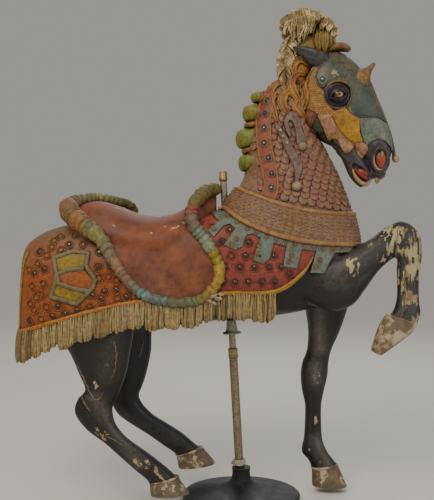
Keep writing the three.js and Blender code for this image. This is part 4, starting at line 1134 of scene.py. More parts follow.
@dataclass
class Caparison:
    """The cloth over the back, cut off along its hem, with its piping and fringe."""

    hem_top: float = 1250.0
    piping_radius: float = 8.0
    drop: float = 90.0
    seed: int = 7
    repair_seed: int = 5
    rear_edge: Sequence[Row] = ((-700, 836), (-714, 790), (-721, 700), (-725, 620), (-727, 580))
    repair_lumps: Sequence[Row] = (
        (-118, 702, 16), (-96, 700, 15), (-78, 690, 12), (-110, 684, 12), (-92, 676, 10), (-70, 704, 10),
        (-116, 668, 9), (-100, 660, 8))
    paint: TwoFieldPaint = TwoFieldPaint(
        "red_and_orange_oil_paint_on_basswood", "#973c30", "#a4533f", bare="#b58f5c", worn=0.35, hollow_shade=0.9,
        roughness=0.5, behind="#ab5a22", behind_top="#8e6a48")
    piping_paint: TwoFieldPaint = TwoFieldPaint(
        "yellow_and_orange_oil_paint_on_basswood", "#b98a1f", "#b06c22", bare="#c9a869", worn=0.3,
        hollow_shade=0.6, roughness=0.45, behind="#bd7a2a", behind_top="#a8632a", divide_x=-0.06)
    fringe_paint: BandedPaint = BandedPaint(
        "tan_oil_paint_on_carved_strands", "#7d6434", "#8f7748", bare="#b89b62", grime_and_shade="#1c150d", worn=0.3,
        hollow_shade=0.95, roughness=0.6, crackle_mm=30,
        bands=((0.0, "#6a5930"), (0.18, "#927c48"), (0.38, "#b39b62"), (0.5, "#9c8a60"), (0.62, "#c0a468"),
               (0.75, "#a89a68"), (0.88, "#c0955c"), (1.0, "#b67c52")))
    repair_paint: OilPaint = OilPaint(
        "cream_filler_over_broken_wood", "#c2ae86", "#a8916a", worn=0.2, hollow_shade=1.0, cloud_mm=20,
        crackle_mm=10)
    trim_paint: OilPaint = OilPaint(
        "yellow_green_oil_paint_on_edge", "#a58f34", "#86843c", bare="#c0a86a", worn=0.45, hollow_shade=0.8,
        cloud_mm=30)

    def shell(self) -> Shape:
        """The cloth's body above its hem."""
        front = HEM[-1][0]
        outline = [(-900, HEM[0][1]), *HEM_LINE[::6], (front + 34, 864), (front + 34, self.hem_top),
                   (-900, self.hem_top)]
        return joined(CLOTH.shape(110, 96, CLOTH_EDGE), prism(outline), Join.INTERSECT)

    def strand(self, top: np.ndarray, out: np.ndarray, length: float, width: float, lean: float,
               wave: float) -> Shape:
        """One carved strand: it leans, waves a little, thickens downwards and ends blunt."""
        side = unit(np.cross(out, (0.0, 0.0, 1.0)))
        places = np.linspace(0, 1, 11)
        path = top + np.outer(places * length, (0, 0, -1.0)) + np.outer(4.5 * np.sin(places * 2.6), out)
        path += np.outer(lean * places ** 1.4 + wave * np.sin(places * 7.5 + lean), side)
        swell = np.array([0.3, 0.42, 0.48, 0.5, 0.5, 0.52, 0.54, 0.56, 0.56, 0.5, 0.3])
        return tube(path, width * swell, 6, 0.95, out=np.broadcast_to(out, path.shape))

    def fringe(self, surface: Surface) -> tuple[Shape, np.ndarray]:
        """All strands round the two sides and the rump, in tufts, and a colour number for their points."""
        draw = np.random.default_rng(self.seed)
        line = belt(surface, HEM_LINE, FRINGE_END_X, -600.0, 2.0, True)
        strands, tones = [], []
        at = 0
        while at < len(line) - 12:
            wide = int(draw.integers(20, 40))
            tuft = range(at, min(at + wide, len(line)), 4)
            middle = at + wide / 2
            at += wide
            proud, drop, tint = draw.uniform(1, 7), draw.uniform(-9, 6), draw.uniform(0, 0.75)
            for layer, share in ((0, 1.0), (1, 0.9)):
                for i in tuft:
                    k = min(max(i + 2 * layer, 0), len(line) - 1)
                    point, level = line[k, :3], unit(line[k, 3:] * (1, 1, 0))
                    away = (k - middle) / (wide / 2)
                    rear = 9 if point[0] < -620 else 0
                    length = (self.drop + rear + drop - 7 * away * away) * share + draw.uniform(-4, 4)
                    top = point + level * (proud - 5.5 * layer - 2 * away * away) + (0, 0, -2.0)
                    lean = -4.0 * away + draw.uniform(-2.5, 2.5)
                    shape = self.strand(top, level, length, draw.uniform(10.5, 14.5), lean,
                                        draw.uniform(0.3, 1.5))
                    strands.append(shape)
                    # Strands of the back layer take darker colours: painted shade behind the front layer.
                    tone = np.clip(tint + draw.uniform(-0.2, 0.28) - 0.35 * layer, 0, 1)
                    tones.append(np.full(len(shape.points), tone))
        return gather(strands), np.concatenate(tones)

    def repair(self, surface: Surface) -> Shape:
        """The filler over a broken tuft under the saddle, in rough lumps."""
        draw = np.random.default_rng(self.repair_seed)
        lumps = []
        for x, z, size in self.repair_lumps:
            point, out = surface.side(x, z, NEAR)
            turn = draw.uniform(-0.6, 0.6)
            lump = ball((0, 0, 0), (size * 1.1, size * 0.6, size * 0.45), 10, 14)
            lumps.append(placed(lump, point + out * 13, out, np.array([math.cos(turn), 0, math.sin(turn)])))
        return remeshed(gather(lumps), 2.2, 1)

    def build(self) -> None:
        """Makes the cloth, its piping and its fringe."""
        shell = self.shell()
        carved_piece("caparison", shell, self.paint, 35)
        surface = Surface(CLOTH.shape(110, 96, CLOTH_EDGE))
        line = belt(surface, HEM_LINE, 228.0, -600.0, 8.0, True)
        path = line[:, :3] + line[:, 3:] * 2.0
        swell = 1 + 0.08 * np.sin(np.arange(len(path)) * 0.9)
        ends = smoothstep(np.minimum(np.arange(len(path)), len(path) - 1 - np.arange(len(path))), -1, 14)
        piping = tube(path, self.piping_radius * swell * (0.35 + 0.65 * ends), 14, out=line[:, 3:])
        carved_piece("hem_piping", piping, self.piping_paint, 60)
        fringe, tones = self.fringe(surface)
        carved_piece("fringe", fringe, self.fringe_paint, 50, {"along": tones})
        carved_piece("fringe_repair", self.repair(surface), self.repair_paint)
        edges = []
        for side in (NEAR, FAR):
            path, outs = surface.line(even_line(self.rear_edge, 50), side, 1.0)
            edges.append(tube(path, np.full(50, 6.5), 12, 0.7, out=outs))
        carved_piece("rear_edges", gather(edges), self.trim_paint)


# The saddle and what surrounds it.

ROLL_SIDE = [
    (-119, -62, 1036), (-150, -104, 1004), (-164, -130, 966), (-158, -152, 925), (-114, -169, 867),
    (-78, -174, 800), (-80, -175, 745), (-128, -176, 691), (-201, -176, 676), (-300, -177, 694),
    (-367, -177, 745), (-414, -176, 812), (-455, -174, 880),
]
ROLL_CANTLE = [
    (-500, -165, 918), (-552, -124, 956), (-574, -68, 984), (-548, -8, 1000), (-500, 45, 1013),
    (-440, 100, 1009), (-384, 148, 985), (-392, 172, 930),
]


@dataclass
class Saddle:
    """The leather-smooth saddle and the ribbon-wrapped roll round it."""

    roll_radius: float = 17.5
    wraps: int = 104
    rings: int = 1150
    ring_sides: int = 22
    rubbed: Sequence[Stroke] = (
        Stroke([(-470, -60, 1000), (-400, -70, 985), (-330, -60, 962), (-250, -50, 962),
                (-190, -50, 990)], 22, 0.8),
        Stroke([(-250, -150, 930), (-205, -140, 950), (-190, -135, 935)], 14, 1.0),
        Stroke([(-232, -152, 905), (-208, -150, 925)], 9, 1.0),
        Stroke([(-300, -165, 905), (-290, -165, 900)], 6, 0.9),
        Stroke([(-440, -130, 975), (-380, -140, 960)], 14, 0.7),
        Stroke([(-438, -150, 930), (-412, -153, 923)], 4, 0.8),
        Stroke([(-404, -148, 936), (-366, -151, 930)], 3, 0.7),
        Stroke([(-300, -140, 948), (-262, -140, 946)], 6, 1.0),
    )
    paint: OilPaint = OilPaint(
        "red_brown_oil_paint_rubbed_smooth", "#8f4d2b", "#85543c", bare="#bda683", grime_and_shade="#3a2317",
        worn=0.1, hollow_shade=0.6, cloud_mm=190, crackle_mm=30, roughness=0.54, worn_places="worn", mottle_mm=46,
        cracked=0.15)
    roll_paint: BandedPaint = BandedPaint(
        "many_coloured_oil_paint_on_ribbons", "#87805c", "#9a8a66", bare="#c0a878", grime_and_shade="#221a12",
        worn=0.45, hollow_shade=0.9, roughness=0.5, cloud_mm=30,
        bands=((0.0, "#85783c"), (0.035, "#75702f"), (0.06, "#9c5142"), (0.085, "#6c7d63"),
               (0.115, "#91a184"),
               (0.135, "#a28905"), (0.16, "#c69f3e"), (0.185, "#9e7d34"), (0.215, "#71815e"),
               (0.235, "#6c6748"), (0.265, "#76968f"), (0.30, "#8b6746"), (0.33, "#b08565"),
               (0.36, "#6b775c"), (0.375, "#c2a141"), (0.39, "#586b50"), (0.41, "#ca7424"),
               (0.425, "#6c7039"), (0.445, "#a26449"), (0.47, "#68632e"), (0.52, "#958d4d"),
               (0.56, "#646437"), (0.60, "#a5724f"), (0.70, "#69744b"), (0.85, "#b4894a"),
               (0.93, "#5c7367"), (1.0, "#997a37")))

    def outline(self) -> list[tuple[float, float]]:
        """The flap's edge in side view, under the middle of the roll."""
        rows = [*ROLL_SIDE, *ROLL_CANTLE[:4]]
        return [tuple(p) for p in even_line([(x, z) for x, _, z in rows], 60)] + [(-300, 1150),
                                                                                  (-100, 1150)]

    def seat(self) -> Shape:
        """The seat between cantle and pommel, run into the two flaps."""
        seat = Loft(uprights([
            (-572, 800, 950, 84, -22), (-540, 780, 994, 128, -2), (-480, 770, 1006, 152, 6),
            (-410, 760, 988, 168, 4), (-341, 760, 962, 172), (-290, 760, 956, 173), (-240, 760, 961, 171),
            (-195, 770, 978, 158), (-150, 780, 1012, 122), (-108, 800, 1036, 74), (-84, 840, 1032, 48),
        ]), 2.2)
        flap = joined(CLOTH.shape(90, 80, CLOTH_EDGE + 8), prism(self.outline()), Join.INTERSECT)
        whole = remeshed(gather([seat.shape(60, 64), flap]), 5.5, 26)
        creases = [Stroke([(-440, -168, 900), (-300, -172, 890), (-200, -164, 905)], 30, 2.5)]
        return carved(whole, creases)

    def roll_path(self) -> list[tuple[float, float, float]]:
        """The roll's middle line, from the pommel round both sides."""
        far = [(x, -y, z) for x, y, z in reversed(ROLL_SIDE[:-1])]
        return [(-88, 0, 1046), *ROLL_SIDE, *ROLL_CANTLE, *far]

    def roll(self) -> tuple[Shape, np.ndarray]:
        """The roll with its slanting wraps, and how far round each point is."""
        path = even_line(self.roll_path(), self.rings, True)
        t = np.arange(self.rings) / self.rings
        fat = 1 + 0.35 * np.exp(-(((t - 0.05) / 0.07) ** 2)) + 0.85 * np.exp(-(((t - 0.44) / 0.07) ** 2))
        angle = 2 * math.pi * np.arange(self.ring_sides) / self.ring_sides
        turn = self.wraps * (t + 0.004 * np.sin(t * 61.0) + 0.0025 * np.sin(t * 173.0))[:, None]
        turn = turn + 0.3 * np.sin(angle)[None]
        groove = np.abs(np.sin(math.pi * turn)) ** 0.6
        every = 0.55 + 0.45 * np.abs(np.sin(math.pi * turn / 3)) ** 0.5
        fold = 0.03 * np.sin(angle * 5 + 40 * t[:, None])
        radius = self.roll_radius * fat[:,
                                        None] * (0.70 + 0.24 * groove * every + 0.14 * every + fold * groove)
        shape = tube(path, radius, self.ring_sides, closed=True)
        number = np.floor(turn / 2) * 2 / self.wraps
        return shape, number.reshape(-1)

    def build(self) -> None:
        """Makes the saddle and its roll."""
        seat = self.seat()
        carved_piece("saddle", seat, self.paint, 60, {"worn": stroked(seat.points, self.rubbed)})
        roll, along = self.roll()
        carved_piece("saddle_roll", roll, self.roll_paint, 60, {"along": along})


@dataclass
class Shield:
    """A plain shield that hangs askew on the rump: three fields between raised bars."""

    bar_radius: float = 7.6
    edge: Sequence[Row] = (
        (-608, 818), (-548, 840), (-496, 835), (-503, 794), (-472, 750), (-480, 724), (-531, 672),
        (-616, 695), (-604, 730), (-597, 769))
    lines: Sequence[Sequence[Row]] = (
        [(-596, 768), (-556, 782), (-505, 786)], [(-600, 742), (-545, 722), (-484, 712)],
        [(-596, 768), (-592, 740)])
    yellow: Sequence[Sequence[Row]] = (
        [(-604, 814), (-548, 834), (-500, 830), (-508, 790), (-556, 784), (-594, 774)],
        [(-600, 738), (-545, 718), (-490, 712), (-531, 678), (-610, 698)])
    orange: Sequence[Sequence[Row]] = (
        [(-592, 764), (-556, 778), (-508, 782), (-478, 748), (-486, 716), (-545, 726), (-590, 742)],)
    bar_paint: OilPaint = OilPaint(
        "grey_olive_oil_paint_on_bars", "#7d7455", "#8a7a52", bare="#b39f72", worn=0.45, hollow_shade=0.9,
        cloud_mm=30)
    yellow_paint: OilPaint = OilPaint(
        "yellow_oil_paint_on_field", "#a8890f", "#8f7c22", worn=0.25, hollow_shade=0.9, cloud_mm=30)
    orange_paint: OilPaint = OilPaint(
        "orange_oil_paint_on_field", "#b55f22", "#9c5a2c", worn=0.3, hollow_shade=0.9, cloud_mm=30)

    def bar(self, surface: Surface, rows: Sequence[Row], closed: bool) -> Shape:
        """A raised bar along a line of the shield."""
        corners = [np.array(p, float) for p in rows]
        spans = zip(corners, corners[1:] + corners[:1]) if closed else zip(corners, corners[1:])
        path = np.vstack([start + (end - start) * np.linspace(0, 1, 14)[:-1, None] for start, end in spans])
        middle, outs = surface.line(path, NEAR, 3.0)
        return tube(middle, np.full(len(middle), self.bar_radius), 10, 0.6, closed, outs)

    def build(self, surface: Surface) -> None:
        """Makes the fields and the bars round and between them."""
        pairs = (("yellow", self.yellow, self.yellow_paint), ("orange", self.orange, self.orange_paint))
        for name, fields, paint in pairs:
            shapes = [patch(surface, rows, NEAR, 3.0, 4.0, 1.5) for rows in fields]
            carved_piece(f"shield_{name}_fields", gather(shapes), paint, 40)
        bars = [self.bar(surface, self.edge, True)] + [self.bar(surface, line, False)
                                                       for line in self.lines]
        carved_piece("shield_bars", gather(bars), self.bar_paint, 60)


# Neck, collar and border.


def bust(swell: float, voxel: float = 7.0, rounds: int = 6) -> Shape:
    """The neck and shoulders as one smooth body, swollen by some millimetres."""
    return remeshed(gather([NECK.shape(60, 60, swell), CLOTH.shape(90, 72, swell)]), voxel, rounds)


def ribbon_between(low: np.ndarray, high: np.ndarray) -> list[tuple[float, float]]:
    """The side-view outline between two lines that both run forwards."""
    return [tuple(p) for p in low] + [tuple(p) for p in high[::-1]]


@dataclass
class Rosettes:
    """Round bosses in rows, each with a glass jewel, on the near side of the cloth."""

    radius: float = 16.5
    jewel_radius: float = 7.4
    lost_share: float = 0.06
    seed: int = 11
    front: Sequence[Row] = (
        (-36, 826), (10, 826), (56, 826), (102, 826), (-8, 788), (39, 788), (86, 788), (-24, 742),
        (19, 742), (62, 742), (105, 742), (-98, 919), (-40, 909), (-66, 870), (21, 868), (150, 767),
        (-58, 790), (-62, 745), (126, 790))
    rump: Sequence[Row] = (
        (-672, 769), (-463, 790), (-430, 758), (-480, 700), (-452, 689), (-442, 713), (-372, 694),
        (-404, 718), (-490, 662), (-528, 652), (-568, 641), (-608, 632), (-591, 663), (-685, 616),
        (-658, 838), (-637, 782), (-461, 838), (-559, 861))
    rings: Sequence[Row] = (
        (-544, 892), (-515, 862), (-586, 844), (-612, 873), (-593, 887), (-618, 853), (-632, 826),
        (-662, 800), (-475, 870), (-630, 661), (-670, 651), (-648, 622), (-662, 691), (-679, 727),
        (-640, 735), (-460, 754), (-424, 792), (-438, 850), (-400, 690), (-646, 700), (-684, 670),
        (-404, 748), (-448, 664), (-690, 780))
    boss_paint: TwoFieldPaint = TwoFieldPaint(
        "red_and_orange_oil_paint_on_bosses", "#a04638", "#a8664c", bare="#b8935c", worn=0.45, hollow_shade=1.0,
        roughness=0.5, cloud_mm=30, behind="#b4662a", behind_top="#9c7a4a")
    setting_paint: OilPaint = OilPaint(
        "pale_green_oil_paint_on_settings", "#9c9a76", "#a3805c", bare="#c2b58c", worn=0.5, hollow_shade=1.0,
        cloud_mm=20)
    jewel_glass: Glass = Glass("foiled_green_glass", "#1d2824", 0.16)

    def boss(self) -> Shape:
        """One boss: a raised rim, a ditch and a collar that holds the jewel."""
        r = self.radius
        return turned([(r * 0.94, -6), (r, 0), (r * 0.96, 2.4), (r * 0.86, 3.4), (r * 0.76, 2.4),
                       (r * 0.68, -0.6),
                       (r * 0.58, -0.6), (r * 0.52, 2.6), (r * 0.44, 3.4), (r * 0.34, 1.4)], 24)

    def jewel(self) -> Shape:
        """One jewel: a cut dome with a flat top."""
        r = self.jewel_radius
        return turned([(r * 0.8, 0), (r, 1.2), (r * 0.82, 3.4), (r * 0.45, 4.6)], 8)

    def build(self, surface: Surface, strap_spots: Sequence[Row], strap: Surface) -> None:
        """Sets bosses and jewels on the cloth, and jewels on the strap of the neck."""
        draw = np.random.default_rng(self.seed)
        boss, jewel = self.boss(), self.jewel()
        bosses, jewels, settings = [], [], []
        for x, z in [*self.front, *self.rump, *self.rings]:
            point, out = surface.side(x, z, NEAR)
            ahead = np.array([math.cos(draw.uniform(0, 6)), 0, math.sin(draw.uniform(0, 6))])
            size = draw.uniform(0.88, 1.02)
            bosses.append(placed(boss, point, out, ahead, size))
            if (x, z) not in self.rings and draw.uniform() > self.lost_share:
                jewels.append(placed(jewel, point + out * 1.4, out, ahead, size))
        for x, z in strap_spots:
            point, out = strap.side(x, z, NEAR)
            jewels.append(placed(jewel, point + out * 2.6, out, np.array([0.0, 0.0, 1.0]), 0.95))
            settings.append(placed(boss, point + out * 1.8, out, np.array([0.0, 0.0, 1.0]), 0.8))
        carved_piece("rosettes", gather(bosses), self.boss_paint, 50)
        carved_piece("strap_settings", gather(settings), self.setting_paint, 50)
        names = [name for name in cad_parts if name.startswith("jewel_")]
        finished_piece("jewels", gather(jewels), self.jewel_glass.material(), names, 10)


@dataclass
class NeckArmour:
    """The scaled neck, its crest of lobes, the collar, the stepped border and the straps."""

    scale_width: float = 30.0
    scale_rows: int = 21
    crest_strap: Sequence[Row] = (
        (96, 1374), (76, 1290), (74, 1240), (76, 1190), (94, 1090), (96, 1046), (84, 1012))
    strap_spots: Sequence[Row] = (
        (79, 1296), (75, 1247), (75, 1196), (88, 1146), (98, 1094), (96, 1046), (86, 1340))
    keyhole: Sequence[Row] = (
        (138, 1262), (146, 1290), (166, 1304), (186, 1292), (198, 1250), (210, 1194), (182, 1190),
        (177, 1222), (169, 1262), (160, 1270), (156, 1262), (164, 1226), (158, 1210), (146, 1230))
    long_strap: Sequence[Row] = (
        (114, 1258), (132, 1228), (148, 1194), (168, 1152), (184, 1118), (178, 1062))
    neck_paint: OilPaint = OilPaint(
        "mauve_brown_oil_paint_on_scales", "#9a6752", "#a27a58", bare="#bd9a6c", grime_and_shade="#2c1d16", worn=0.4,
        hollow_shade=1.0, roughness=0.5, crackle_mm=24)
    crest_paint: OilPaint = OilPaint(
        "olive_oil_paint_on_lobes", "#948c2a", "#77863a", bare="#b8a25a", grime_and_shade="#221d10", worn=0.4,
        hollow_shade=0.85, roughness=0.45, cloud_mm=45)
    crest_band_paint: OilPaint = OilPaint(
        "orange_tan_oil_paint_on_bands", "#a67336", "#96703f", worn=0.3, hollow_shade=0.8)
    strap_paint: OilPaint = OilPaint(
        "red_oil_paint_on_strap", "#9c4a30", "#a05a40", worn=0.3, hollow_shade=0.7)
    edge_paint: OilPaint = OilPaint(
        "orange_oil_paint_on_edges", "#ad6b30", "#a57a44", bare="#c2a26c", worn=0.4, hollow_shade=0.6)
    collar_paint: OilPaint = OilPaint(
        "mauve_and_ochre_oil_paint_on_collar", "#8e655c", "#9c7a48", bare="#b99a6a", worn=0.35, hollow_shade=0.9,
        cloud_mm=70)
    bead_paint: OilPaint = OilPaint(
        "ochre_oil_paint_on_beads", "#b38f4e", "#a9724c", bare="#c9b183", worn=0.4, hollow_shade=0.8)
    border_paint: OilPaint = OilPaint(
        "blue_green_oil_paint_on_border", "#7f8f8a", "#6c6c40", bare="#b09a68", grime_and_shade="#241c12", worn=0.5,
        hollow_shade=1.0, cloud_mm=22)
    stud_paint: OilPaint = OilPaint(
        "ochre_and_red_oil_paint_on_studs", "#9a8a5c", "#94543a", bare="#c2ac7a", worn=0.5, hollow_shade=1.0,
        cloud_mm=22)
    mauve_paint: OilPaint = OilPaint(
        "grey_mauve_oil_paint_on_strap", "#7a5f58", "#8c7464", worn=0.4, hollow_shade=0.9, cloud_mm=30)
    bell_paint: OldMetal = OldMetal(
        "pale_paint_on_wooden_bell", "#948f68", "#b5a87c", 0.0, 0.45)

    def scale(self) -> Shape:
        """One scale: a rounded tongue, thin at its root and thick at its lip."""
        half, long = self.scale_width / 2, self.scale_width * 0.86
        turn = np.radians(np.linspace(90, -90, 11))
        outline = [(-0.35 * long, 0.8 * half)]
        outline += [(0.82 * long * math.cos(a) ** 0.85, half * math.sin(a)) for a in turn]
        outline += [(-0.35 * long, -0.8 * half)]
        rows = []
        for inset, height in ((1.0, -5.0), (1.0, 0.0), (0.9, 1.2), (0.62, 0.9), (0.3, 1.2)):
            slope = [height + (0.4 + 5.2 * max(x, 0) / long if height >= 0 else 0) for x, _ in outline]
            rows.append([(x * inset if x > 0 else x, y * inset, rise) for (x, y),
                         rise in zip(outline, slope)])
        return skin(np.array(rows, float))

    def scales(self) -> Shape:
        """Rows of scales round the neck, from its throat to its base, each row over the next."""
        shape = self.scale()
        found = []
        last = len(NECK.cuts) - 1
        rings = NECK.rings(np.linspace(0.15, last - 1.1, 160), 240, 1.0)
        lengths = np.concatenate([[0], np.cumsum(np.linalg.norm(np.diff(rings.mean(1), axis=0), axis=1))])
        for row, goal in enumerate(np.linspace(0, lengths[-1], self.scale_rows + 1)[::-1]):
            index = min(int(np.searchsorted(lengths, goal)), len(rings) - 2)
            ring, ahead_ring = rings[index], rings[index + 1]
            steps = np.linalg.norm(np.roll(ring, -1, 0) - ring, axis=1)
            round_it = np.concatenate([[0], np.cumsum(steps)])
            count = int(round(round_it[-1] / (self.scale_width * 0.98)))
            for i in range(count):
                at = round_it[-1] * ((i + (row % 2) / 2) / count % 1.0)
                k = int(np.searchsorted(round_it, at)) % len(ring)
                point, down = ring[k], unit(ahead_ring[k] - ring[k])
                across = unit(ring[(k + 1) % len(ring)] - ring[k - 1])
                out = np.cross(across, down)
                middle = ring.mean(0)
                if np.dot(out, point - middle) < 0:
                    out = -out
                if self.hidden(point):
                    continue
                found.append(placed(shape, point, out, down))
        return gather(found)

    def hidden(self, point: np.ndarray) -> bool:
        """Whether the crest, the strap or the collar covers a place."""
        x, _, z = point
        back = np.interp(z, [1000, 1090, 1190, 1240, 1290, 1374], [70, 60, 42, 40, 44, 60])
        return x < back or z < height_at(COLLAR_TOP_LINE, x) - 22

    def lobe(self, x: float, z: float, half: float, height: float, lean: float) -> Shape:
        """One lobe of the crest, with shallow grooves from back to front."""
        loft = Loft([
            (x - 12, z - height + 1, x + 70, z - height + lean, half * 0.42),
            (x - 20, z - height * 0.82, x + 74, z - height * 0.82 + lean, half * 0.78),
            (x - 26, z - height * 0.3, x + 76, z - height * 0.3 + lean, half * 0.98),
            (x - 26, z + height * 0.25, x + 77, z + height * 0.25 + lean, half),
            (x - 20, z + height * 0.72, x + 78, z + height * 0.72 + lean, half * 0.86),
            (x - 9, z + height * 0.95, x + 80, z + height * 0.95 + lean, half * 0.5),
        ], 2.5)
        rings = loft.rings(np.linspace(0, 5, 26), 72)
        shape = skin(rings)
        groove = np.zeros(len(shape.points))
        angle = np.tile(np.arange(72), 26)
        groove[:len(angle)] = 1.1 * np.cos(angle * 2 * math.pi / 6)
        return Shape(shape.points + normals_of(shape) * groove[:, None], shape.faces)

    def crest(self) -> tuple[Shape, Shape]:
        """The lobes behind the neck and the bands between them."""
        lobes, bands = [], []
        rows = [(60, 1358, 40, 20), (32, 1304, 53, 30), (9, 1218, 55, 34), (18, 1136, 57, 30),
                (25, 1052, 59, 32)]
        for i, (x, z, half, height) in enumerate(rows):
            lean = 18 - 22 * (1 - max(i - 1, 0) / 3)
            lobes.append(self.lobe(x, z, half, height, lean))
        for x, z, half, lean in ((22, 1262, 47, 6), (15, 1175, 50, 12), (24, 1094, 52, 16)):
            band = Loft([
                (x - 10, z - 9, x + 72, z - 9 + lean, half * 0.9), (x - 14, z, x + 74, z + lean, half),
                (x - 10, z + 9, x + 72, z + 9 + lean, half * 0.9)], 2.5)
            bands.append(band.shape(8, 48))
        return gather(lobes), gather(bands)

    def strap(self, surface: Surface, line: Sequence[Row], width: Sequence[float], height: float,
              side: int = NEAR) -> Shape:
        """A strap along a side-view line, as wide as given at even distances along it."""
        middle = even_line(line, 40)
        tangent = unit(np.gradient(middle, axis=0))
        half = np.interp(np.linspace(0, 1, 40), np.linspace(0, 1, len(width)), width)[:, None] / 2
        across = np.stack([-tangent[:, 1], tangent[:, 0]], 1)
        outline = np.vstack([middle + across * half, (middle - across * half)[::-1]])
        return patch(surface, outline, side, height, 4.5, 3.0, 8.0, 1.5)

    def edges(self, surface: Surface, line: Sequence[Row], width: float, radius: float) -> Shape:
        """Two beads along a strap's edges."""
        middle = even_line(line, 60)
        tangent = unit(np.gradient(middle, axis=0))
        across = np.stack([-tangent[:, 1], tangent[:, 0]], 1)
        beads = []
        for sign in (-1, 1):
            rows = middle + across * sign * width / 2
            path, outs = surface.line(rows, NEAR, 2.5)
            beads.append(tube(path, np.full(len(path), radius), 8, out=outs))
        return gather(beads)

    def collar(self) -> None:
        """The collar, its two ribs and its rows of small beads."""
        outer = bust(14.0, 6.0, 10)
        inner = bust(4.0, 10.0, 4)
        band = joined(outer, prism(ribbon_between(COLLAR_FOOT_LINE[::4], COLLAR_TOP_LINE[::4])),
                      Join.INTERSECT)
        band = joined(band, inner, Join.DIFFERENCE)
        carved_piece("collar", band, self.collar_paint, 35)
        surface = Surface(outer)
        ribs = []
        for line, radius in ((COLLAR_TOP_LINE, 8.0), (COLLAR_FOOT_LINE, 8.5)):
            rib = belt(surface, line, float(line[0, 0]) + 4, 300.0, 9.0, False)
            ribs.append(tube(rib[:, :3] - rib[:, 3:] * 2.0, np.full(len(rib), radius), 12, 0.8,
                             out=rib[:, 3:]))
        carved_piece("collar_ribs", gather(ribs), self.bead_paint, 60)
        dash = ball((0, 0, 0), (3.0, 8.0, 3.0), 8, 12)
        beads = []
        for row in range(7):
            share = 0.16 + 0.68 * row / 6
            line = COLLAR_FOOT_LINE + (COLLAR_TOP_LINE - COLLAR_FOOT_LINE) * share
            run = belt(surface, line, float(line[0, 0]) + 14, 300.0, 11.0, False)
            for i in range(row % 2, len(run), 2):
                lean = 0.35 * (-1) ** (i // 2)
                beads.append(placed(dash, run[i, :3], run[i, 3:], np.array([lean, 0.0, 1.0])))
        carved_piece("collar_beads", gather(beads), self.bead_paint, 50)

    def border_outline(self) -> list[tuple[float, float]]:
        """The near side's stepped edge, from the saddle to the chest."""
        top = [tuple(p + (0, 8)) for p in COLLAR_FOOT_LINE[::5]]
        steps = [
            (430, 836), (330, 836), (300, 836), (284, 806), (264, 768), (219, 771), (240, 842), (191, 846),
            (176, 786), (131, 791), (142, 856), (101, 868), (86, 816), (66, 800), (33, 814), (58, 884),
            (34, 898), (14, 894), (-2, 856), (-24, 845), (-60, 862), (-22, 914), (-40, 930), (-60, 924),
            (-92, 889), (-112, 908), (-76, 938), (-95, 962), (-118, 978)]
        return top + steps

    def border(self) -> None:
        """The stepped border under the collar: near side with its tabs, far side as a plain band."""
        outer = bust(9.0, 6.0, 8)
        inner = bust(2.0, 10.0, 4)
        near = joined(outer, prism(self.border_outline(), -HALF_SPAN, 0.5), Join.INTERSECT)
        low = COLLAR_FOOT_LINE[::4] - (8, 34)
        far = joined(outer, prism(ribbon_between(low, COLLAR_FOOT_LINE[::4] + (0, 8)), 0.0, HALF_SPAN),
                     Join.INTERSECT)
        both = joined(near, far, Join.UNION)
        both = joined(both, inner, Join.DIFFERENCE)
        carved_piece("stepped_border", both, self.border_paint, 35)
        stud = turned([(8.0, -3), (8.4, 0.4), (7.0, 2.2), (5.6, 1.6), (4.6, 0.4), (3.2, 0.8), (1.6, 2.2)],
                      18)
        face = Surface(outer)
        spots = [(x, height_at(COLLAR_FOOT_LINE, x) - 16 - 4 * (i % 2)) for i,
                 x in enumerate(np.arange(-78, 330, 31.0))]
        spots += [(-20, 880), (-34, 862), (48, 834), (54, 858), (152, 806), (158, 826), (238, 790),
                  (252, 812),
                  (-92, 912)]
        studs = [placed(stud, *face.side(x, z, NEAR), np.array([1.0, 0.0, 0.2])) for x, z in spots]
        carved_piece("border_studs", gather(studs), self.stud_paint, 50)

    def build(self) -> None:
        """Makes everything from the collar to the throat."""
        base = NECK.shape(60, 72)
        carved_piece("neck", base, self.neck_paint, 60)
        carved_piece("neck_scales", self.scales(), self.neck_paint, 50)
        lobes, bands = self.crest()
        carved_piece("crest_lobes", lobes, self.crest_paint, 60)
        carved_piece("crest_bands", bands, self.crest_band_paint, 60)
        self.collar()
        self.border()
        whole = Surface(gather([NECK.shape(60, 72, 3.0), lobes, CLOTH.shape(80, 72, 4)]))
        strap = self.strap(whole, self.crest_strap, [40, 42, 42, 42, 42], 7)
        carved_piece("crest_strap", strap, self.strap_paint, 50)
        beads = self.edges(whole, self.crest_strap, 42, 5.0)
        carved_piece("crest_strap_edges", beads, self.edge_paint, 60)
        mauve = gather([
            self.strap(whole, self.long_strap, [16, 24, 28, 32, 30, 12], 9),
            patch(whole, even_line(self.keyhole, 60, True), NEAR, 9.0, 4.0, 3.0, 8.0, 1.0),
        ])
        carved_piece("hanging_straps", mauve, self.mauve_paint, 50)
        bells = []
        for x, z, size in ((178, 1050, 15), (198, 1184, 13)):
            point, out = whole.side(x, z, NEAR)
            bells.append(ball(point + out * size * 0.55, (size, size, size)))
            groove = tube(np.array([point + out * size * 0.55 + np.array([
                math.cos(a) * size, 0, math.sin(a) * size]) for a in np.linspace(0, 2 * math.pi, 25)[:-1]]),
                np.full(24, 1.6), 6, closed=True)
            bells.append(groove)
        for x, z in ((128, 1236), (138, 1216), (148, 1194)):
            point, out = whole.side(x, z, NEAR)
            bells.append(ball(point + out * 10, (6.5, 6.5, 6.5), 10, 14))
        carved_piece("bells", gather(bells), self.bell_paint, 60)


# Head and plume.

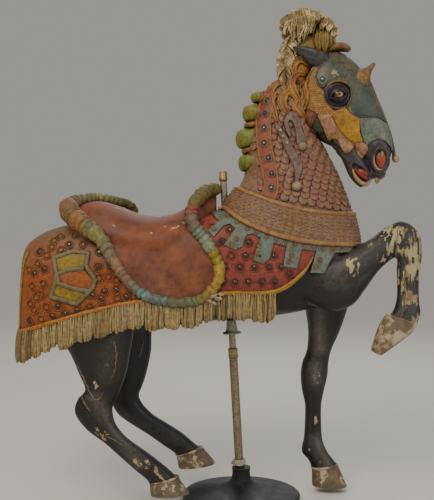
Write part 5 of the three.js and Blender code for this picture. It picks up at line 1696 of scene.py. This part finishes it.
HEAD = Loft([
    (196, 1352, 262, 1474, 56), (212, 1284, 318, 1503, 70), (258, 1222, 374, 1474, 75),
    (308, 1192, 411, 1430, 67), (350, 1172, 441, 1374, 56), (386, 1164, 473, 1300, 49),
    (414, 1150, 497, 1236, 46), (436, 1114, 505, 1164, 43), (448, 1084, 476, 1096, 30),
], 2.3)
JAW = Loft([
    (284, 1214, 350, 1240, 46), (330, 1164, 392, 1190, 42), (350, 1124, 416, 1150, 37),
    (366, 1088, 436, 1118, 33), (388, 1062, 444, 1092, 29), (404, 1050, 438, 1070, 20),
], 2.3)
HEAD_PIVOT = Matrix.Translation((190, 0, 0))
HEAD_TURN = HEAD_PIVOT @ Matrix.Rotation(math.radians(-9), 4, "Z") @ HEAD_PIVOT.inverted()


@dataclass
class Head:
    """The horse's head in its armour, turned a little to the near side.

    It is modelled straight, its near side mirrored to the far one, and then turned.
    """

    eye: Row = (331, 1354)
    eye_radius: float = 27.0
    eye_turn: float = math.radians(12)
    almond: Sequence[Row] = (
        (-27, -9), (-18, 4), (-3, 10), (13, 9), (26, 1), (16, -10), (1, -15), (-16, -15))
    nostril: Row = (469, 1141)
    brow_scuff: Sequence[Row] = ((288, 1452), (304, 1430), (322, 1412), (336, 1396))
    mouth: Sequence[Row] = (
        (376, 1128), (396, 1124), (420, 1106), (436, 1088), (434, 1074), (418, 1070), (398, 1084),
        (384, 1102))
    chanfron: Sequence[Row] = (
        (284, 1490), (270, 1545), (345, 1545), (425, 1500), (505, 1400), (540, 1290), (535, 1262),
        (500, 1258), (485, 1268), (461, 1282), (401, 1283), (380, 1289), (364, 1304), (361, 1319),
        (372, 1344), (369, 1383), (341, 1401), (303, 1397), (282, 1381), (266, 1389), (257, 1413),
        (262, 1440), (274, 1458))
    muzzle: Sequence[Row] = (
        (404, 1287), (461, 1286), (488, 1270), (505, 1262), (545, 1262), (560, 1130), (513, 1136),
        (503, 1180), (484, 1203), (458, 1210), (436, 1198), (424, 1186), (412, 1200), (404, 1233),
        (399, 1261))
    cheek: Sequence[Row] = (
        (206, 1468), (262, 1478), (275, 1452), (262, 1436), (258, 1412), (268, 1386), (286, 1362),
        (298, 1323), (318, 1300), (352, 1316), (372, 1320), (378, 1296), (404, 1288), (402, 1230),
        (412, 1200), (385, 1192), (300, 1216), (280, 1240), (262, 1288), (230, 1296), (212, 1331),
        (200, 1364), (196, 1420))
    gold: Sequence[Row] = (
        (311, 1286), (341, 1296), (369, 1316), (376, 1298), (401, 1276), (401, 1232), (413, 1199),
        (385, 1197), (363, 1208), (341, 1231), (325, 1257))
    hide_paint: OilPaint = OilPaint(
        "dark_grey_purple_oil_paint_on_muzzle", "#49424a", "#584f4c", bare="#a48a64", grime_and_shade="#171311",
        worn=0.2, hollow_shade=0.8, roughness=0.4)
    teal_paint: OilPaint = OilPaint(
        "dark_blue_green_oil_paint_on_armour", "#48574b", "#6d6247", bare="#9a8a60", grime_and_shade="#1a1a15",
        worn=0.4, hollow_shade=0.8, roughness=0.38, cloud_mm=60, worn_places="worn")
    pale_teal_paint: OilPaint = OilPaint(
        "pale_blue_green_oil_paint_on_armour", "#727f78", "#84866f", bare="#a89a70", grime_and_shade="#22231d",
        worn=0.4, hollow_shade=0.8, roughness=0.4, cloud_mm=40)
    cheek_paint: OilPaint = OilPaint(
        "orange_tan_oil_paint_on_scales", "#c39652", "#b87f42", bare="#cbb07c", grime_and_shade="#3d2611", worn=0.3,
        hollow_shade=0.8, roughness=0.48, cloud_mm=36)
    lappet_paint: OilPaint = OilPaint(
        "pink_tan_oil_paint_on_lappets", "#bb8c66", "#a9785a", bare="#cbb07c", grime_and_shade="#3d2611", worn=0.4,
        hollow_shade=0.9, cloud_mm=24)
    gold_paint: OilPaint = OilPaint(
        "golden_oil_paint_on_plate", "#c08f1f", "#ac7f2a", bare="#c9ac70", grime_and_shade="#33220f", worn=0.25,
        hollow_shade=0.8, roughness=0.42, cloud_mm=36)
    leaf_paint: OilPaint = OilPaint(
        "red_brown_oil_paint_on_leaf", "#74402a", "#8a5434", worn=0.3, hollow_shade=0.8)
    rim_paint: OilPaint = OilPaint(
        "tan_oil_paint_on_eye_rims", "#94764e", "#8a6448", bare="#b89c6e", worn=0.4, hollow_shade=0.9, cloud_mm=20)
    green_paint: OilPaint = OilPaint(
        "dark_green_oil_paint_under_jaw", "#3a4a31", "#4b4c36", worn=0.2, hollow_shade=0.8)
    lid_paint: OilPaint = OilPaint(
        "purple_black_oil_paint_on_lids", "#2f282d", "#42383d", bare="#6d6060", grime_and_shade="#0e0c0d", worn=0.12,
        hollow_shade=0.6, roughness=0.3)
    flesh_paint: OilPaint = OilPaint(
        "red_oil_paint_in_mouth", "#a23624", "#a8503c", bare="#c08a70", grime_and_shade="#300f0a", worn=0.25,
        hollow_shade=0.9, roughness=0.32)
    cream_paint: OilPaint = OilPaint(
        "cream_oil_paint_on_lips", "#c0a877", "#b08f5e", worn=0.3, hollow_shade=0.8)
    tan_paint: OilPaint = OilPaint(
        "tan_oil_paint_on_spike", "#a8763a", "#75654a", bare="#b79b6c", worn=0.45, hollow_shade=0.8, cloud_mm=26)
    ear_paint: OilPaint = OilPaint(
        "grey_black_oil_paint_on_ear", "#3b3a3d", "#4c4a48", bare="#7c7360", grime_and_shade="#121110", worn=0.25,
        hollow_shade=0.7, roughness=0.4)
    eye_glass: EyeGlass = EyeGlass("amber_blown_glass", "#160f0b", 0.05)

    def dress(self, name: str, near: Iterable[Shape], middle: Iterable[Shape],
              finish: OilPaint | Glass | OldMetal,
              crease: float = 60, values: dict[str, np.ndarray] | None = None, slot: str = "carved_wood",
              stands_for: Sequence[str] = ("horse",)) -> None:
        """Finishes near pieces on both sides, and middle pieces once, in the turned head's place."""
        near = list(near)
        shapes = near + [mirrored(shape) for shape in near] + list(middle)
        finished_piece(name, moved(gather(shapes), HEAD_TURN), finish.material(), stands_for,
                       crease, values)

    def arc(self, radii: Row, start: float, end: float, surface: Surface, rise: float) -> np.ndarray:
        """A line round the eye between two angles in degrees, over a surface."""
        x, z = self.eye
        angles = np.radians(np.linspace(start, end, 40))
        rows = [(x + radii[0] * math.cos(a), z + radii[1] * math.sin(a)) for a in angles]
        return surface.line(rows, NEAR, rise)[0]

    def bare_head(self) -> Shape:
        """The carved head under its armour, with nostrils and mouth cut in."""
        x, z = self.nostril
        parts = [HEAD.shape(80, 64), JAW.shape(40, 40), ball((462, 0, 1100), (26, 34, 24))]
        for side in (NEAR, FAR):
            parts.append(ball((x - 3, side * 25, z + 2), (33, 27, 46)))
            parts.append(ball((278, side * 44, 1296), (56, 26, 66)))
        solid = remeshed(gather(parts), 3.2, 6)
        for side in (NEAR, FAR):
            low, high = sorted((side * 20, side * 90))
            solid = joined(solid, prism(even_line(self.mouth, 28, True), low, high), Join.DIFFERENCE)
            solid = joined(solid, ball((x, side * 56, z), (24, 30, 37)), Join.DIFFERENCE)
        strokes = [
            Stroke([(330, -70, 1240), (400, -58, 1215)], 12, -3),
            Stroke([(436, -50, 1128), (452, -40, 1096)], 7, -5),
            Stroke([(350, -44, 1160), (376, -38, 1132)], 9, -3),
            Stroke([(452, -46, 1188), (470, -46, 1196)], 12, 4),
        ]
        strokes += [Stroke([(px, -py, pz) for px, py, pz in stroke.line], stroke.reach, stroke.depth)
                    for stroke in strokes]
        return carved(remeshed(solid, 3.1, 2), strokes)

    def plate(self, outline: Sequence[Row], swell: float) -> Shape:
        """A plate of the armour over both sides of the head, with softened edges."""
        outer = HEAD.shape(swell=swell)
        cut = joined(joined(outer, prism(outline), Join.INTERSECT), HEAD.shape(60, 48, -4.0),
                     Join.DIFFERENCE)
        return remeshed(cut, 2.7, 2)

    def armour(self, skull: Surface) -> None:
        """The chanfron, the muzzle plate, the pebbled cheeks, the golden plate and the lappets."""
        crown = Surface(HEAD.shape(swell=7.0))
        scuff, _ = crown.line(self.brow_scuff, NEAR)
        front = self.plate(self.chanfron, 7.0)
        self.dress("chanfron", [], [front], self.teal_paint,
                   values={"worn": stroked(front.points, [Stroke(scuff, 20, 0.85)])})
        self.dress("muzzle_plate", [], [self.plate(self.muzzle, 5.0)], self.pale_teal_paint)
        self.dress("cheek_plates", [], [self.plate(self.cheek, 4.0)], self.cheek_paint)
        self.dress("golden_plates", [], [self.plate(self.gold, 8.0)], self.gold_paint)
        ridge = even_line([(404, 0, 1438), (430, 0, 1404), (450, 0, 1356), (476, 0, 1294), (498, 0, 1234),
                           (511, 0, 1178), (514, 0, 1150)], 60)
        edge = even_line(self.chanfron[8:], 110)
        path, outs = crown.line(edge, NEAR)
        bead = tube(path, np.full(110, 2.6), 8, out=outs)
        ridges = [bead, mirrored(bead), tube(ridge, np.linspace(8.5, 6, 60), 14)]
        unworn = np.zeros(sum(len(shape.points) for shape in ridges))
        self.dress("armour_ridges", [], ridges, self.teal_paint, values={"worn": unworn})
        tips = [
            [(262, 1290), (300, 1296), (322, 1266), (326, 1240), (312, 1216), (300, 1204), (286, 1228),
             (272, 1262)],
            [(320, 1250), (341, 1233), (366, 1206), (386, 1194), (378, 1176), (356, 1162), (340, 1180),
             (326, 1212)],
            [(383, 1198), (413, 1202), (430, 1180), (420, 1158), (408, 1146), (392, 1164)]]
        lappets = [patch(skull, even_line(tip, 26, True), NEAR, 6.0, 4.0, 3.5, 6.0, 3.0) for tip in tips]
        self.dress("lappets", lappets, [], self.lappet_paint, 50)
        leaf = [(206, 1330), (203, 1282), (210, 1238), (222, 1204), (240, 1192), (246, 1222), (240, 1244),
                (262, 1286),
                (234, 1310)]
        self.dress("jowl_leaf", [patch(skull, even_line(leaf, 30, True), NEAR, 7.0, 4.0, 3.5, 14.0, 4.0)],
                   [],
                   self.leaf_paint, 50)
        chin = [(244, 1244), (262, 1282), (284, 1232), (300, 1204), (330, 1184), (352, 1158), (372, 1138),
                (360, 1128),
                (338, 1152), (300, 1190), (262, 1204)]
        self.dress("jaw_underside", [patch(skull, even_line(chin, 40, True), NEAR, 3.0, 4.0, 3.0, 14.0,
                                           1.0)], [],
                   self.green_paint, 50)
        pebble = turned([(3.9, -2), (3.7, 0.2), (2.6, 1.3), (1.1, 1.7)], 8)
        cheeks = Surface(HEAD.shape(swell=4.0))
        marks = []
        for row, z in enumerate(np.arange(1236, 1462, 7.4)):
            for x in np.arange(200, 372, 8.6):
                at = x + (row % 2) * 4.3
                if self.on_cheek(at, z):
                    point, out = cheeks.side(at, z, NEAR)
                    marks.append(placed(pebble, point, out, np.array([1.0, 0.0, 0.25])))
        self.dress("cheek_pebbles", marks, [], self.cheek_paint)

    def on_cheek(self, x: float, z: float) -> bool:
        """Whether a place is on the pebbled part of the cheek."""
        back = np.interp(z, [1232, 1290, 1331, 1364, 1450], [300, 262, 222, 210, 214])
        front = np.interp(z, [1232, 1262, 1300, 1323, 1362, 1386, 1412, 1436, 1455],
                          [316, 312, 308, 292, 280, 262, 252, 254, 264])
        return back < x < front

    def eyes(self) -> None:
        """Glass eyes in almond lids, with the folds and rims round them."""
        surface = Surface(HEAD.shape(swell=3.0))
        x, z = self.eye
        point, _ = surface.side(x, z, NEAR)
        there = Matrix.Translation(Vector(point)) @ Matrix.Rotation(self.eye_turn, 4, "Z")
        r = self.eye_radius
        opening = prism(even_line(self.almond, 40, True), -60, 0)
        lid = joined(ball((0, 9, 1), (r + 7, r + 4, r + 4), 36, 48), opening, Join.DIFFERENCE)
        glass = ball((0, 9, 0), (r, r, r), 36, 48)
        from_gaze = np.hypot(glass.points[:, 0] - 2, glass.points[:, 2]) / r
        gaze = np.where(glass.points[:, 1] < 9, from_gaze, 1.0)
        rim = even_line([(px, -12 - 5 * (1 - (px / 24) ** 2), pz) for px, pz in self.almond], 60, True)
        folds = [moved(lid, there), moved(tube(rim, np.full(60, 2.3), 8, closed=True), there)]
        taper = np.sin(np.linspace(0.12, math.pi - 0.12, 40)) ** 0.5
        for radii, start, end, thick in (((33, 25), 6, 170, 7.0), ((36, 33), 176, 318, 3.4),
                                         ((42, 39), 168, 300, 3.0)):
            folds.append(tube(self.arc(radii, start, end, surface, 1.0), thick * taper, 10))
        socket = [(x - 4 + 43 * math.cos(a), z + 40 * math.sin(a))
                  for a in np.linspace(0, 2 * math.pi, 49)[:-1]]
        folds.append(patch(surface, socket, NEAR, 2.0, 5.0, 3.0, 4.0, 0.0))
        self.dress("eyelids", folds, [], self.lid_paint)
        crown = Surface(HEAD.shape(swell=6.0))
        brow = tube(self.arc((46, 45), 28, 158, crown, 0.5), 5.0 * taper, 12)
        under = tube(self.arc((48, 44), 176, 322, surface, 1.5), 2.4 * taper, 10)
        self.dress("brow_rims", [brow, under], [], self.rim_paint)
        self.dress("eyes", [moved(glass, there)], [], self.eye_glass, 60, {"gaze": np.tile(gaze, 2)},
                   "eye_glass",
                   ("eye_right", "eye_left"))

    def muzzle_parts(self, skull: Surface) -> None:
        """Nostril rims with their red linings, a painted highlight on each nostril, the lips, tongue and
        teeth.
        """
        x, z = self.nostril
        angles = np.linspace(0, 2 * math.pi, 49)[:-1]
        path, _ = skull.line([(x + 27 * math.cos(a), z + 40 * math.sin(a)) for a in angles], NEAR)
        for _ in range(4):
            path = (np.roll(path, 1, 0) + path * 2 + np.roll(path, -1, 0)) / 4
        self.dress("nostril_rings", [tube(path - (0, 1, 0), np.full(48, 4.6), 12, closed=True)], [],
                   self.hide_paint)
        rim = path[20:42] + (path.mean(0) - path[20:42]) * 0.16 - (0, 3, 0)
        # The cream ball over the front of each nostril is a painted highlight.
        pale = [tube(rim, 4.2 * np.sin(np.linspace(0.2, 2.9, 22)), 8),
                ball((x + 5, -38, z + 20), (6, 6, 12))]
        reds = [ball((x, -26, z), (26, 15, 40)), ball((408, -14, 1098), (26, 14, 22)),
                tube(even_line([(384, -21, 1112), (404, -24, 1092), (426, -21, 1078)], 16),
                     np.linspace(7, 6, 16), 12)]
        lip = even_line([(377, 1112), (387, 1086), (404, 1067), (422, 1062), (439, 1078)], 26)
        pale.append(tube(skull.line(lip, NEAR)[0], 7.2 * np.sin(np.linspace(0.35, 2.8, 26)), 10))
        teeth = [ball((462 - abs(y) * 0.3, y, 1080), (7, 5.5, 16)) for y in (-16, -5.5, 5.5, 16)]
        self.dress("mouth_linings", reds, [], self.flesh_paint)
        self.dress("lips_teeth_and_nostril_highlights", pale, teeth, self.cream_paint)

    def top(self) -> None:
        """The ears, the knob, the spike and the bell on the nose."""
        t = np.linspace(0, 1, 36)
        path = even_line([(298, -38, 1450), (268, -52, 1474), (228, -57, 1497), (180, -50, 1521)], 36)
        radius = 3 + 32 * np.sin(math.pi * np.clip(t * 0.84 + 0.17, 0, 1)) ** 0.8 * (1 - 0.5 * t)
        angle = 2 * math.pi * np.arange(24) / 24
        groove = 1 - 0.34 * np.exp(-((np.angle(np.exp(1j * (angle - math.pi / 2))) / 0.5) ** 2))
        ear = tube(path, radius[:, None] * groove, 24, 0.62,
                   out=np.broadcast_to((0.1, -1, -0.35), path.shape))
        self.dress("ears", [ear], [], self.ear_paint)
        knob = tube(even_line([(304, 0, 1508), (318, 0, 1521), (338, 0, 1526), (358, 0, 1520),
                               (366, 0, 1512)], 24),
                    8 + 8 * np.sin(np.linspace(0, math.pi, 24)) ** 0.7, 20)
        strip = tube(even_line([(286, 0, 1486), (292, 0, 1508), (308, 0, 1520)], 12), np.full(12, 6.0), 10)
        spike = tube(even_line([(386, -14, 1394), (402, -20, 1412), (415, -24, 1426), (432, -24, 1444),
                                (449, -20, 1464)], 30),
                     np.interp(t[:30] * 1.2, [0, 0.3, 0.45, 0.58, 0.72, 0.85, 1.0],
                               [42, 38, 31, 19, 11, 8, 6]), 24)
        wide = Shape(knob.points * (1, 2.3, 1), knob.faces)
        self.dress("spike_and_knob", [], [wide, strip, spike], self.tan_paint)
        ring = [(519 + 11 * math.cos(a), 0, 1146 + 11 * math.sin(a))
                for a in np.linspace(0, 2 * math.pi, 25)[:-1]]
        bell = [ball((519, 0, 1146), (11, 11, 11)), tube(np.array(ring), np.full(24, 1.4), 6, closed=True)]
        self.dress("nose_bell", [], bell, self.cream_paint)
        point, out = Surface(HEAD.shape(swell=7.0)).side(279, 1406, NEAR)
        stone = placed(turned([(6, 0), (8, 1.5), (6.6, 5.5), (3, 7.5)], 10), point, out,
                       np.array([1.0, 0, 0]))
        self.dress("brow_jewel", [stone], [], Glass("foiled_green_glass_on_brow", "#3f5a4a"), 12,
                   slot="jewel_glass",
                   stands_for=())

    def build(self) -> None:
        """Makes the whole head."""
        bare = self.bare_head()
        skull = Surface(bare)
        self.dress("head", [], [bare], self.hide_paint)
        self.armour(skull)
        self.eyes()
        self.muzzle_parts(skull)
        self.top()


@dataclass
class Plume:
    """Curled feathers on the poll, each a bundle of carved strands, and the locks below them."""

    paint: OilPaint = OilPaint(
        "cream_olive_oil_paint_on_feathers", "#a8925a", "#86743a", bare="#d2bd88", grime_and_shade="#1b150a",
        worn=0.75, hollow_shade=1.0, cloud_mm=34, roughness=0.55)
    gold_paint: OilPaint = OilPaint(
        "golden_oil_paint_under_feathers", "#a5832f", "#86743a", bare="#c0a868", grime_and_shade="#46330f", worn=0.35,
        hollow_shade=0.75, cloud_mm=26)
    lock_paint: OilPaint = OilPaint(
        "yellow_orange_oil_paint_on_locks", "#b98c36", "#a4623a", bare="#c6ab74", grime_and_shade="#2c1c0e",
        worn=0.45, hollow_shade=1.0, cloud_mm=40)
    seed: int = 3
    back_ridge: Sequence[Row] = ((168, 1642), (188, 1656), (216, 1662), (242, 1648))
    back_rim: Sequence[Row] = (
        (152, 1568), (158, 1548), (172, 1536), (190, 1530), (210, 1540), (230, 1552), (244, 1572),
        (250, 1596))
    front_ridge: Sequence[Row] = ((260, 1620), (274, 1629), (288, 1626), (300, 1612))
    front_rim: Sequence[Row] = ((264, 1590), (276, 1582), (288, 1572), (298, 1562), (304, 1550))
    gold_ridge: Sequence[Row] = ((252, 1604), (280, 1612), (306, 1596))
    gold_rim: Sequence[Row] = ((258, 1512), (282, 1500), (304, 1512))
    tail: Sequence[Row] = (
        (182, -10, 1580), (160, -18, 1548), (148, -24, 1500), (148, -27, 1450), (152, -30, 1414),
        (152, -34, 1384))
    curls: Sequence[Sequence[Row]] = (
        [(226, 1462), (200, 1482), (176, 1466), (178, 1430), (196, 1412)],
        [(214, 1430), (186, 1436), (166, 1400), (180, 1356), (206, 1326)],
        [(222, 1410), (206, 1392), (212, 1356), (206, 1320), (188, 1296)],
        [(170, 1372), (148, 1366), (134, 1336), (146, 1304), (164, 1290)],
        [(134, 1400), (106, 1388), (96, 1348), (106, 1302), (120, 1262)],
        [(150, 1420), (122, 1412), (104, 1384), (88, 1356)],
        [(190, 1340), (180, 1316), (196, 1298), (210, 1280)],
    )

    def fall(self, ridge: Sequence[Row], rim: Sequence[Row], clumps: int, bulge: float, side: int,
             width: float) -> list[Shape]:
        """Clumps of strands that fall from a ridge to a rim, each drawn together at its tip.

        Args:
            ridge: where they start, x and z.
            rim: where they end, x and z.
            clumps: how many clumps there are.
            bulge: how far they stand out to the side.
            side: which side of the horse they are on.
            width: each strand's radius.
        """
        draw = np.random.default_rng(self.seed + clumps)
        starts, ends = even_line(ridge, clumps), even_line(rim, clumps)
        middle = (starts.mean(0) + ends.mean(0)) / 2
        t = np.linspace(0, 1, 18)
        strands = []
        for i, (start, end) in enumerate(zip(starts, ends)):
            fan = math.sin(math.pi * (i + 0.5) / clumps)
            end = end + draw.uniform(-8, 8, 2) + (0, 4)
            deep = bulge * (0.4 + 0.6 * fan) * draw.uniform(0.9, 1.1)
            bend = draw.uniform(-7, 7)
            for share in (-1.0, -0.2, 0.6, 1.3):
                top = start + (share * 7, 0) + draw.uniform(-2, 2, 2)
                half = start * 0.45 + end * 0.55 + (share * 7.5, 0)
                away = (half - middle) * 0.18
                high, low = top * 0.82 + end * 0.18 + (0, 6), top * 0.16 + end * 0.84 + away * 0.5
                lift = deep + draw.uniform(-3, 3)
                rows = [
                    (top[0], side * 3, top[1]), (high[0], side * lift * 0.55, high[1]),
                    (half[0] + away[0] + bend, side * lift, half[1] + away[1]),
                    (low[0] + share * 3 - bend * 0.4, side * (lift + 2), low[1]),
                    (end[0] + share * 1.5 + bend * 0.3, side * (lift - 9), end[1] + draw.uniform(-5, 5))]
                radius = width * (0.5 + 0.55 * np.sin(math.pi * t ** 0.85) ** 0.7) * (1 - 0.6 * t ** 5)
                strands.append(tube(even_line(rows, 18), radius * draw.uniform(0.8, 1.15), 8, 0.85))
        return strands

    def barbs(self, spine: Sequence[Row], count: int, long: float, drop: float) -> list[Shape]:
        """Barbs in several layers that leave a feather's spine to both sides and hang down."""
        draw = np.random.default_rng(self.seed)
        line = even_line(spine, count + 2)
        shapes = [tube(even_line(spine, 30), 17 * np.sin(np.linspace(0.5, 2.75, 30)) ** 0.7, 12, 0.6)]
        swell = np.array([4, 5, 5.6, 5.8, 5.6, 5.2, 4.6, 3.8, 3, 1.6])
        for i in range(1, count + 1):
            x, y, z = line[i]
            size = math.sin(math.pi * min(0.25 + 0.66 * i / count, 0.95))
            for sign in (-1, 1):
                for face in (-1, 1):
                    reach = long * size * draw.uniform(0.75, 1.1)
                    fall = drop * draw.uniform(0.85, 1.2)
                    proud = face * draw.uniform(9, 14)
                    rows = [(x, y + face * 4, z + 6), (x + sign * reach * 0.5, y + proud, z - fall * 0.22),
                            (x + sign * reach * 0.9, y + proud * 0.9, z - fall * 0.6),
                            (x + sign * reach * 0.75, y + proud * 0.5, z - fall)]
                    shapes.append(tube(even_line(rows, 10), swell * (0.6 + 0.45 * size), 7, 0.85))
        return shapes

    def lock(self, surface: Surface, curl: Sequence[Row], side: int) -> list[Shape]:
        """A lock of hair: four strands side by side along a curl, wide in the middle and drawn to a point."""
        middle = even_line(curl, 24)
        tangent = unit(np.gradient(middle, axis=0))
        across = np.stack([-tangent[:, 1], tangent[:, 0]], 1)
        swell = np.sin(np.linspace(0.25, math.pi - 0.08, 24)) ** 0.7
        strands = []
        for i, share in enumerate((-1.5, -0.5, 0.5, 1.5)):
            rows = middle + across * (share * 7.2 * swell)[:, None]
            path, _ = surface.line(rows, side, 2.0 + 2.5 * (i % 2))
            for _ in range(3):
                path[1:-1] = (path[:-2] + path[1:-1] * 2 + path[2:]) / 4
            strands.append(tube(path, 6.2 * swell, 9, 0.9))
        return strands

    def build(self) -> None:
        """Makes the feathers and the locks."""
        pale, gold = [], []
        inner_ridge = [(x, z - 6) for x, z in self.back_ridge]
        inner_rim = [(x + 4, z + 20) for x, z in self.back_rim]
        for side in (NEAR, FAR):
            pale += self.fall(self.back_ridge, self.back_rim, 9, 46, side, 5.6)
            pale += self.fall(inner_ridge, inner_rim, 8, 53, side, 5.0)
            pale += self.fall(self.front_ridge, self.front_rim, 4, 34, side, 5.2)
            gold += self.fall(self.gold_ridge, self.gold_rim, 5, 25, side, 5.6)
        pale += [ball((198, 0, 1604), (52, 40, 44)), ball((292, 0, 1606), (26, 26, 22))]
        gold += [ball((280, 0, 1550), (27, 24, 60)), ball((222, 0, 1530), (42, 27, 40))]
        pale += self.barbs(self.tail, 20, 30, 40)
        carved_piece("plume", gather(pale), self.paint, 60)
        carved_piece("plume_underside", gather(gold), self.gold_paint, 60)
        nape = ball((196, 0, 1432), (46, 44, 66))
        surface = Surface(gather([NECK.shape(60, 60, 2.0), moved(HEAD.shape(60, 60, 2.0), HEAD_TURN),
                                  nape]))
        locks = [nape]
        for curl in self.curls:
            for side in (NEAR, FAR):
                locks += self.lock(surface, curl, side)
        carved_piece("locks", gather(locks), self.lock_paint, 50)


# The stand, and the studio.


@dataclass
class Stand:
    """The leaning pole with its fittings, and the bell-shaped iron foot."""

    post_radius: float = 14.5
    rod_radius: float = 11.5
    foot_radius: float = 199.0
    steel: OldMetal = OldMetal("weathered_painted_steel_tube", "#6e6046", "#8f8468", 0.2, 0.5, 0.5)
    rod_paint: OldMetal = OldMetal("worn_pale_paint_on_steel_rod", "#a39e88", "#b0a88e", 0.1, 0.5, 0.2)
    yellow: OldMetal = OldMetal("yellow_paint_on_steel_ferrule", "#b59a48", "#8d8470", 0.1, 0.48, 0.4)
    pale: OldMetal = OldMetal("chalky_pale_paint_on_iron", "#b4b198", "#c4bfa6", 0.05, 0.6, 0.2)
    brass: OldMetal = OldMetal("dull_tarnished_brass_cap", "#c2a468", "#9c7c3c", 0.55, 0.42, 0.3)
    iron: OldMetal = OldMetal("black_paint_on_cast_iron", "#1b1b1c", "#3a3633", 0.2, 0.5, 0.3)

    def leaning(self, shape: Shape) -> Shape:
        """The shape leaned back with the pole."""
        return moved(shape, Matrix.Rotation(-POLE_LEAN, 4, "Y"))

    def rod(self, radius: float, low: float, high: float, edge: float = 1.5) -> Shape:
        """A bar with rounded rims."""
        return self.leaning(turned([(radius - edge, low), (radius, low + edge), (radius, high - edge),
                                    (radius - edge, high)]))

    def build(self) -> None:
        """Makes the pole from foot to cap."""
        post = self.rod(self.post_radius, 23, 475.7)
        finished_piece("pole_post", post, self.steel.material(), ["stand_post"])
        ferrule = self.leaning(turned([(15.5, 476), (17, 477.5), (17, 483), (16, 484), (16, 499),
                                       (17, 500), (17, 505.5),
                                       (15, 507)]))
        finished_piece("ferrule", ferrule, self.yellow.material(), ["pole_ferrule"])
        finished_piece("rod", self.rod(self.rod_radius, 507.3, 1076), self.rod_paint.material(),
                       ["upper_rod"])
        cap = self.leaning(turned([(12.5, 1076.3), (14.5, 1078), (14.5, 1086), (13.6, 1088), (13.6, 1104),
                                   (12, 1108.5),
                                   (7, 1110.2)]))
        finished_piece("cap", cap, self.brass.material(), ["pole_cap"])
        fittings = [
            turned([(30, 556), (32, 557.5), (32, 560.5), (30, 562)]),
            turned([(21, 562.3), (21, 566), (19.5, 570), (17.5, 582), (16, 598), (15, 602.3)]),
            turned([(20, 110.3), (22, 112), (22, 128), (20, 129.8)]),
        ]
        for angle in (30, 150, 270):
            x, y = 26.5 * math.cos(math.radians(angle)), 26.5 * math.sin(math.radians(angle))
            fittings.append(moved(turned([(3.6, 553.5), (4, 554.5), (4, 556.5)], 6),
                                  Matrix.Translation((x, y, 0))))
        lug = moved(turned([(4, 0), (4.6, 1), (4.6, 7), (3, 8.5)], 8),
                    Matrix.Translation((-21, -4, 120)) @ Matrix.Rotation(math.radians(-90), 4, "Y"))
        fittings.append(lug)
        finished_piece("fittings", self.leaning(gather(fittings)), self.pale.material(),
                       ["belly_flange", "belly_cup", "foot_ring"])
        foot = turned([(self.foot_radius - 4, 0), (self.foot_radius, 3), (self.foot_radius, 12),
                       (self.foot_radius - 5, 16.5),
                       (170, 20), (130, 25.5), (92, 33), (62, 42), (44, 52), (34, 62), (30.5, 76),
                       (30, 96), (31.5, 98), (31.5, 103), (29, 104)], 96)
        finished_piece("iron_foot", foot, self.iron.material(), ["stand_foot"], 30)


@dataclass
class Studio:
    """A pale floor, soft light and the camera."""

    lens: float = 63.504
    shift: float = -0.05
    camera_place: Row = (-0.082, -3.0, 0.925)
    floor_colour: str = "#d9d6cf"
    floor_half: float = 30.0
    air_colour: str = "#c9c6c0"
    air_strength: float = 0.58
    sky_strength: float = 0.48
    sky_spread: float = math.radians(120)
    lamps: Sequence[tuple[str, Row, Row, float, float, str]] = (
        ("key", (-1.5, -3.0, 3.6), (0, 0, 0.9), 2.4, 105, "#fff4e6"),
        ("fill", (2.8, -2.8, 1.8), (0, 0, 0.8), 2.8, 45, "#eef2ff"),
        ("back", (0.5, 3.2, 3.2), (0, 0, 1.0), 3.2, 38, "#ffffff"))

    def lamp(self, name: str, place: Row, target: Row, size: float, power: float, colour: str) -> None:
        """A square soft light."""
        light = bpy.data.lights.new(name, "AREA")
        light.size = size
        light.energy = power
        light.color = linear(colour)[:3]
        made = bpy.data.objects.new(name, light)
        made.location = place
        made.rotation_euler = (Vector(target) - Vector(place)).to_track_quat("-Z", "Y").to_euler()
        bpy.context.scene.collection.objects.link(made)

    def build(self) -> None:
        """Sets up the scene round the horse."""
        mesh = bpy.data.meshes.new("floor")
        half = self.floor_half
        mesh.from_pydata([(-half, -half, 0), (half, -half, 0), (half, half, 0), (-half, half, 0)], [],
                         [(0, 1, 2, 3)])
        floor = bpy.data.objects.new("floor", mesh)
        bpy.context.scene.collection.objects.link(floor)
        made, _, shader = started("pale_matt_floor")
        shader.inputs["Base Color"].default_value = linear(self.floor_colour)
        shader.inputs["Roughness"].default_value = 0.9
        mesh.materials.append(made)
        world = bpy.data.worlds.new("studio")
        world.use_nodes = True
        world.node_tree.nodes["Background"].inputs[0].default_value = linear(self.air_colour)
        world.node_tree.nodes["Background"].inputs[1].default_value = self.air_strength
        bpy.context.scene.world = world
        for lamp in self.lamps:
            self.lamp(*lamp)
        sun = bpy.data.lights.new("sky", "SUN")
        sun.energy = self.sky_strength
        sun.angle = self.sky_spread
        bpy.context.scene.collection.objects.link(bpy.data.objects.new("sky", sun))
        eye = bpy.data.cameras.new("camera")
        eye.lens = self.lens
        eye.sensor_width = 36
        eye.sensor_fit = "AUTO"
        eye.shift_y = self.shift
        camera = bpy.data.objects.new("camera", eye)
        camera.location = self.camera_place
        camera.rotation_euler = (math.radians(90), 0, 0)
        bpy.context.scene.collection.objects.link(camera)
        bpy.context.scene.camera = camera


def main() -> None:
    """Builds the horse, its stand and the studio, in order."""
    logging.basicConfig(level=logging.INFO, format="%(message)s")
    bpy.ops.object.select_all(action="DESELECT")
    Studio().build()
    Stand().build()
    BareHorse().build()
    Caparison().build()
    Saddle().build()
    armour = NeckArmour()
    armour.build()
    cloth = Surface(CLOTH.shape(110, 96, CLOTH_EDGE))
    strap = Surface(NECK.shape(60, 72, 11.0))
    Rosettes().build(cloth, armour.strap_spots, strap)
    Shield().build(cloth)
    Head().build()
    Plume().build()
    bpy.context.view_layer.update()


if __name__ == "__main__":
    main()
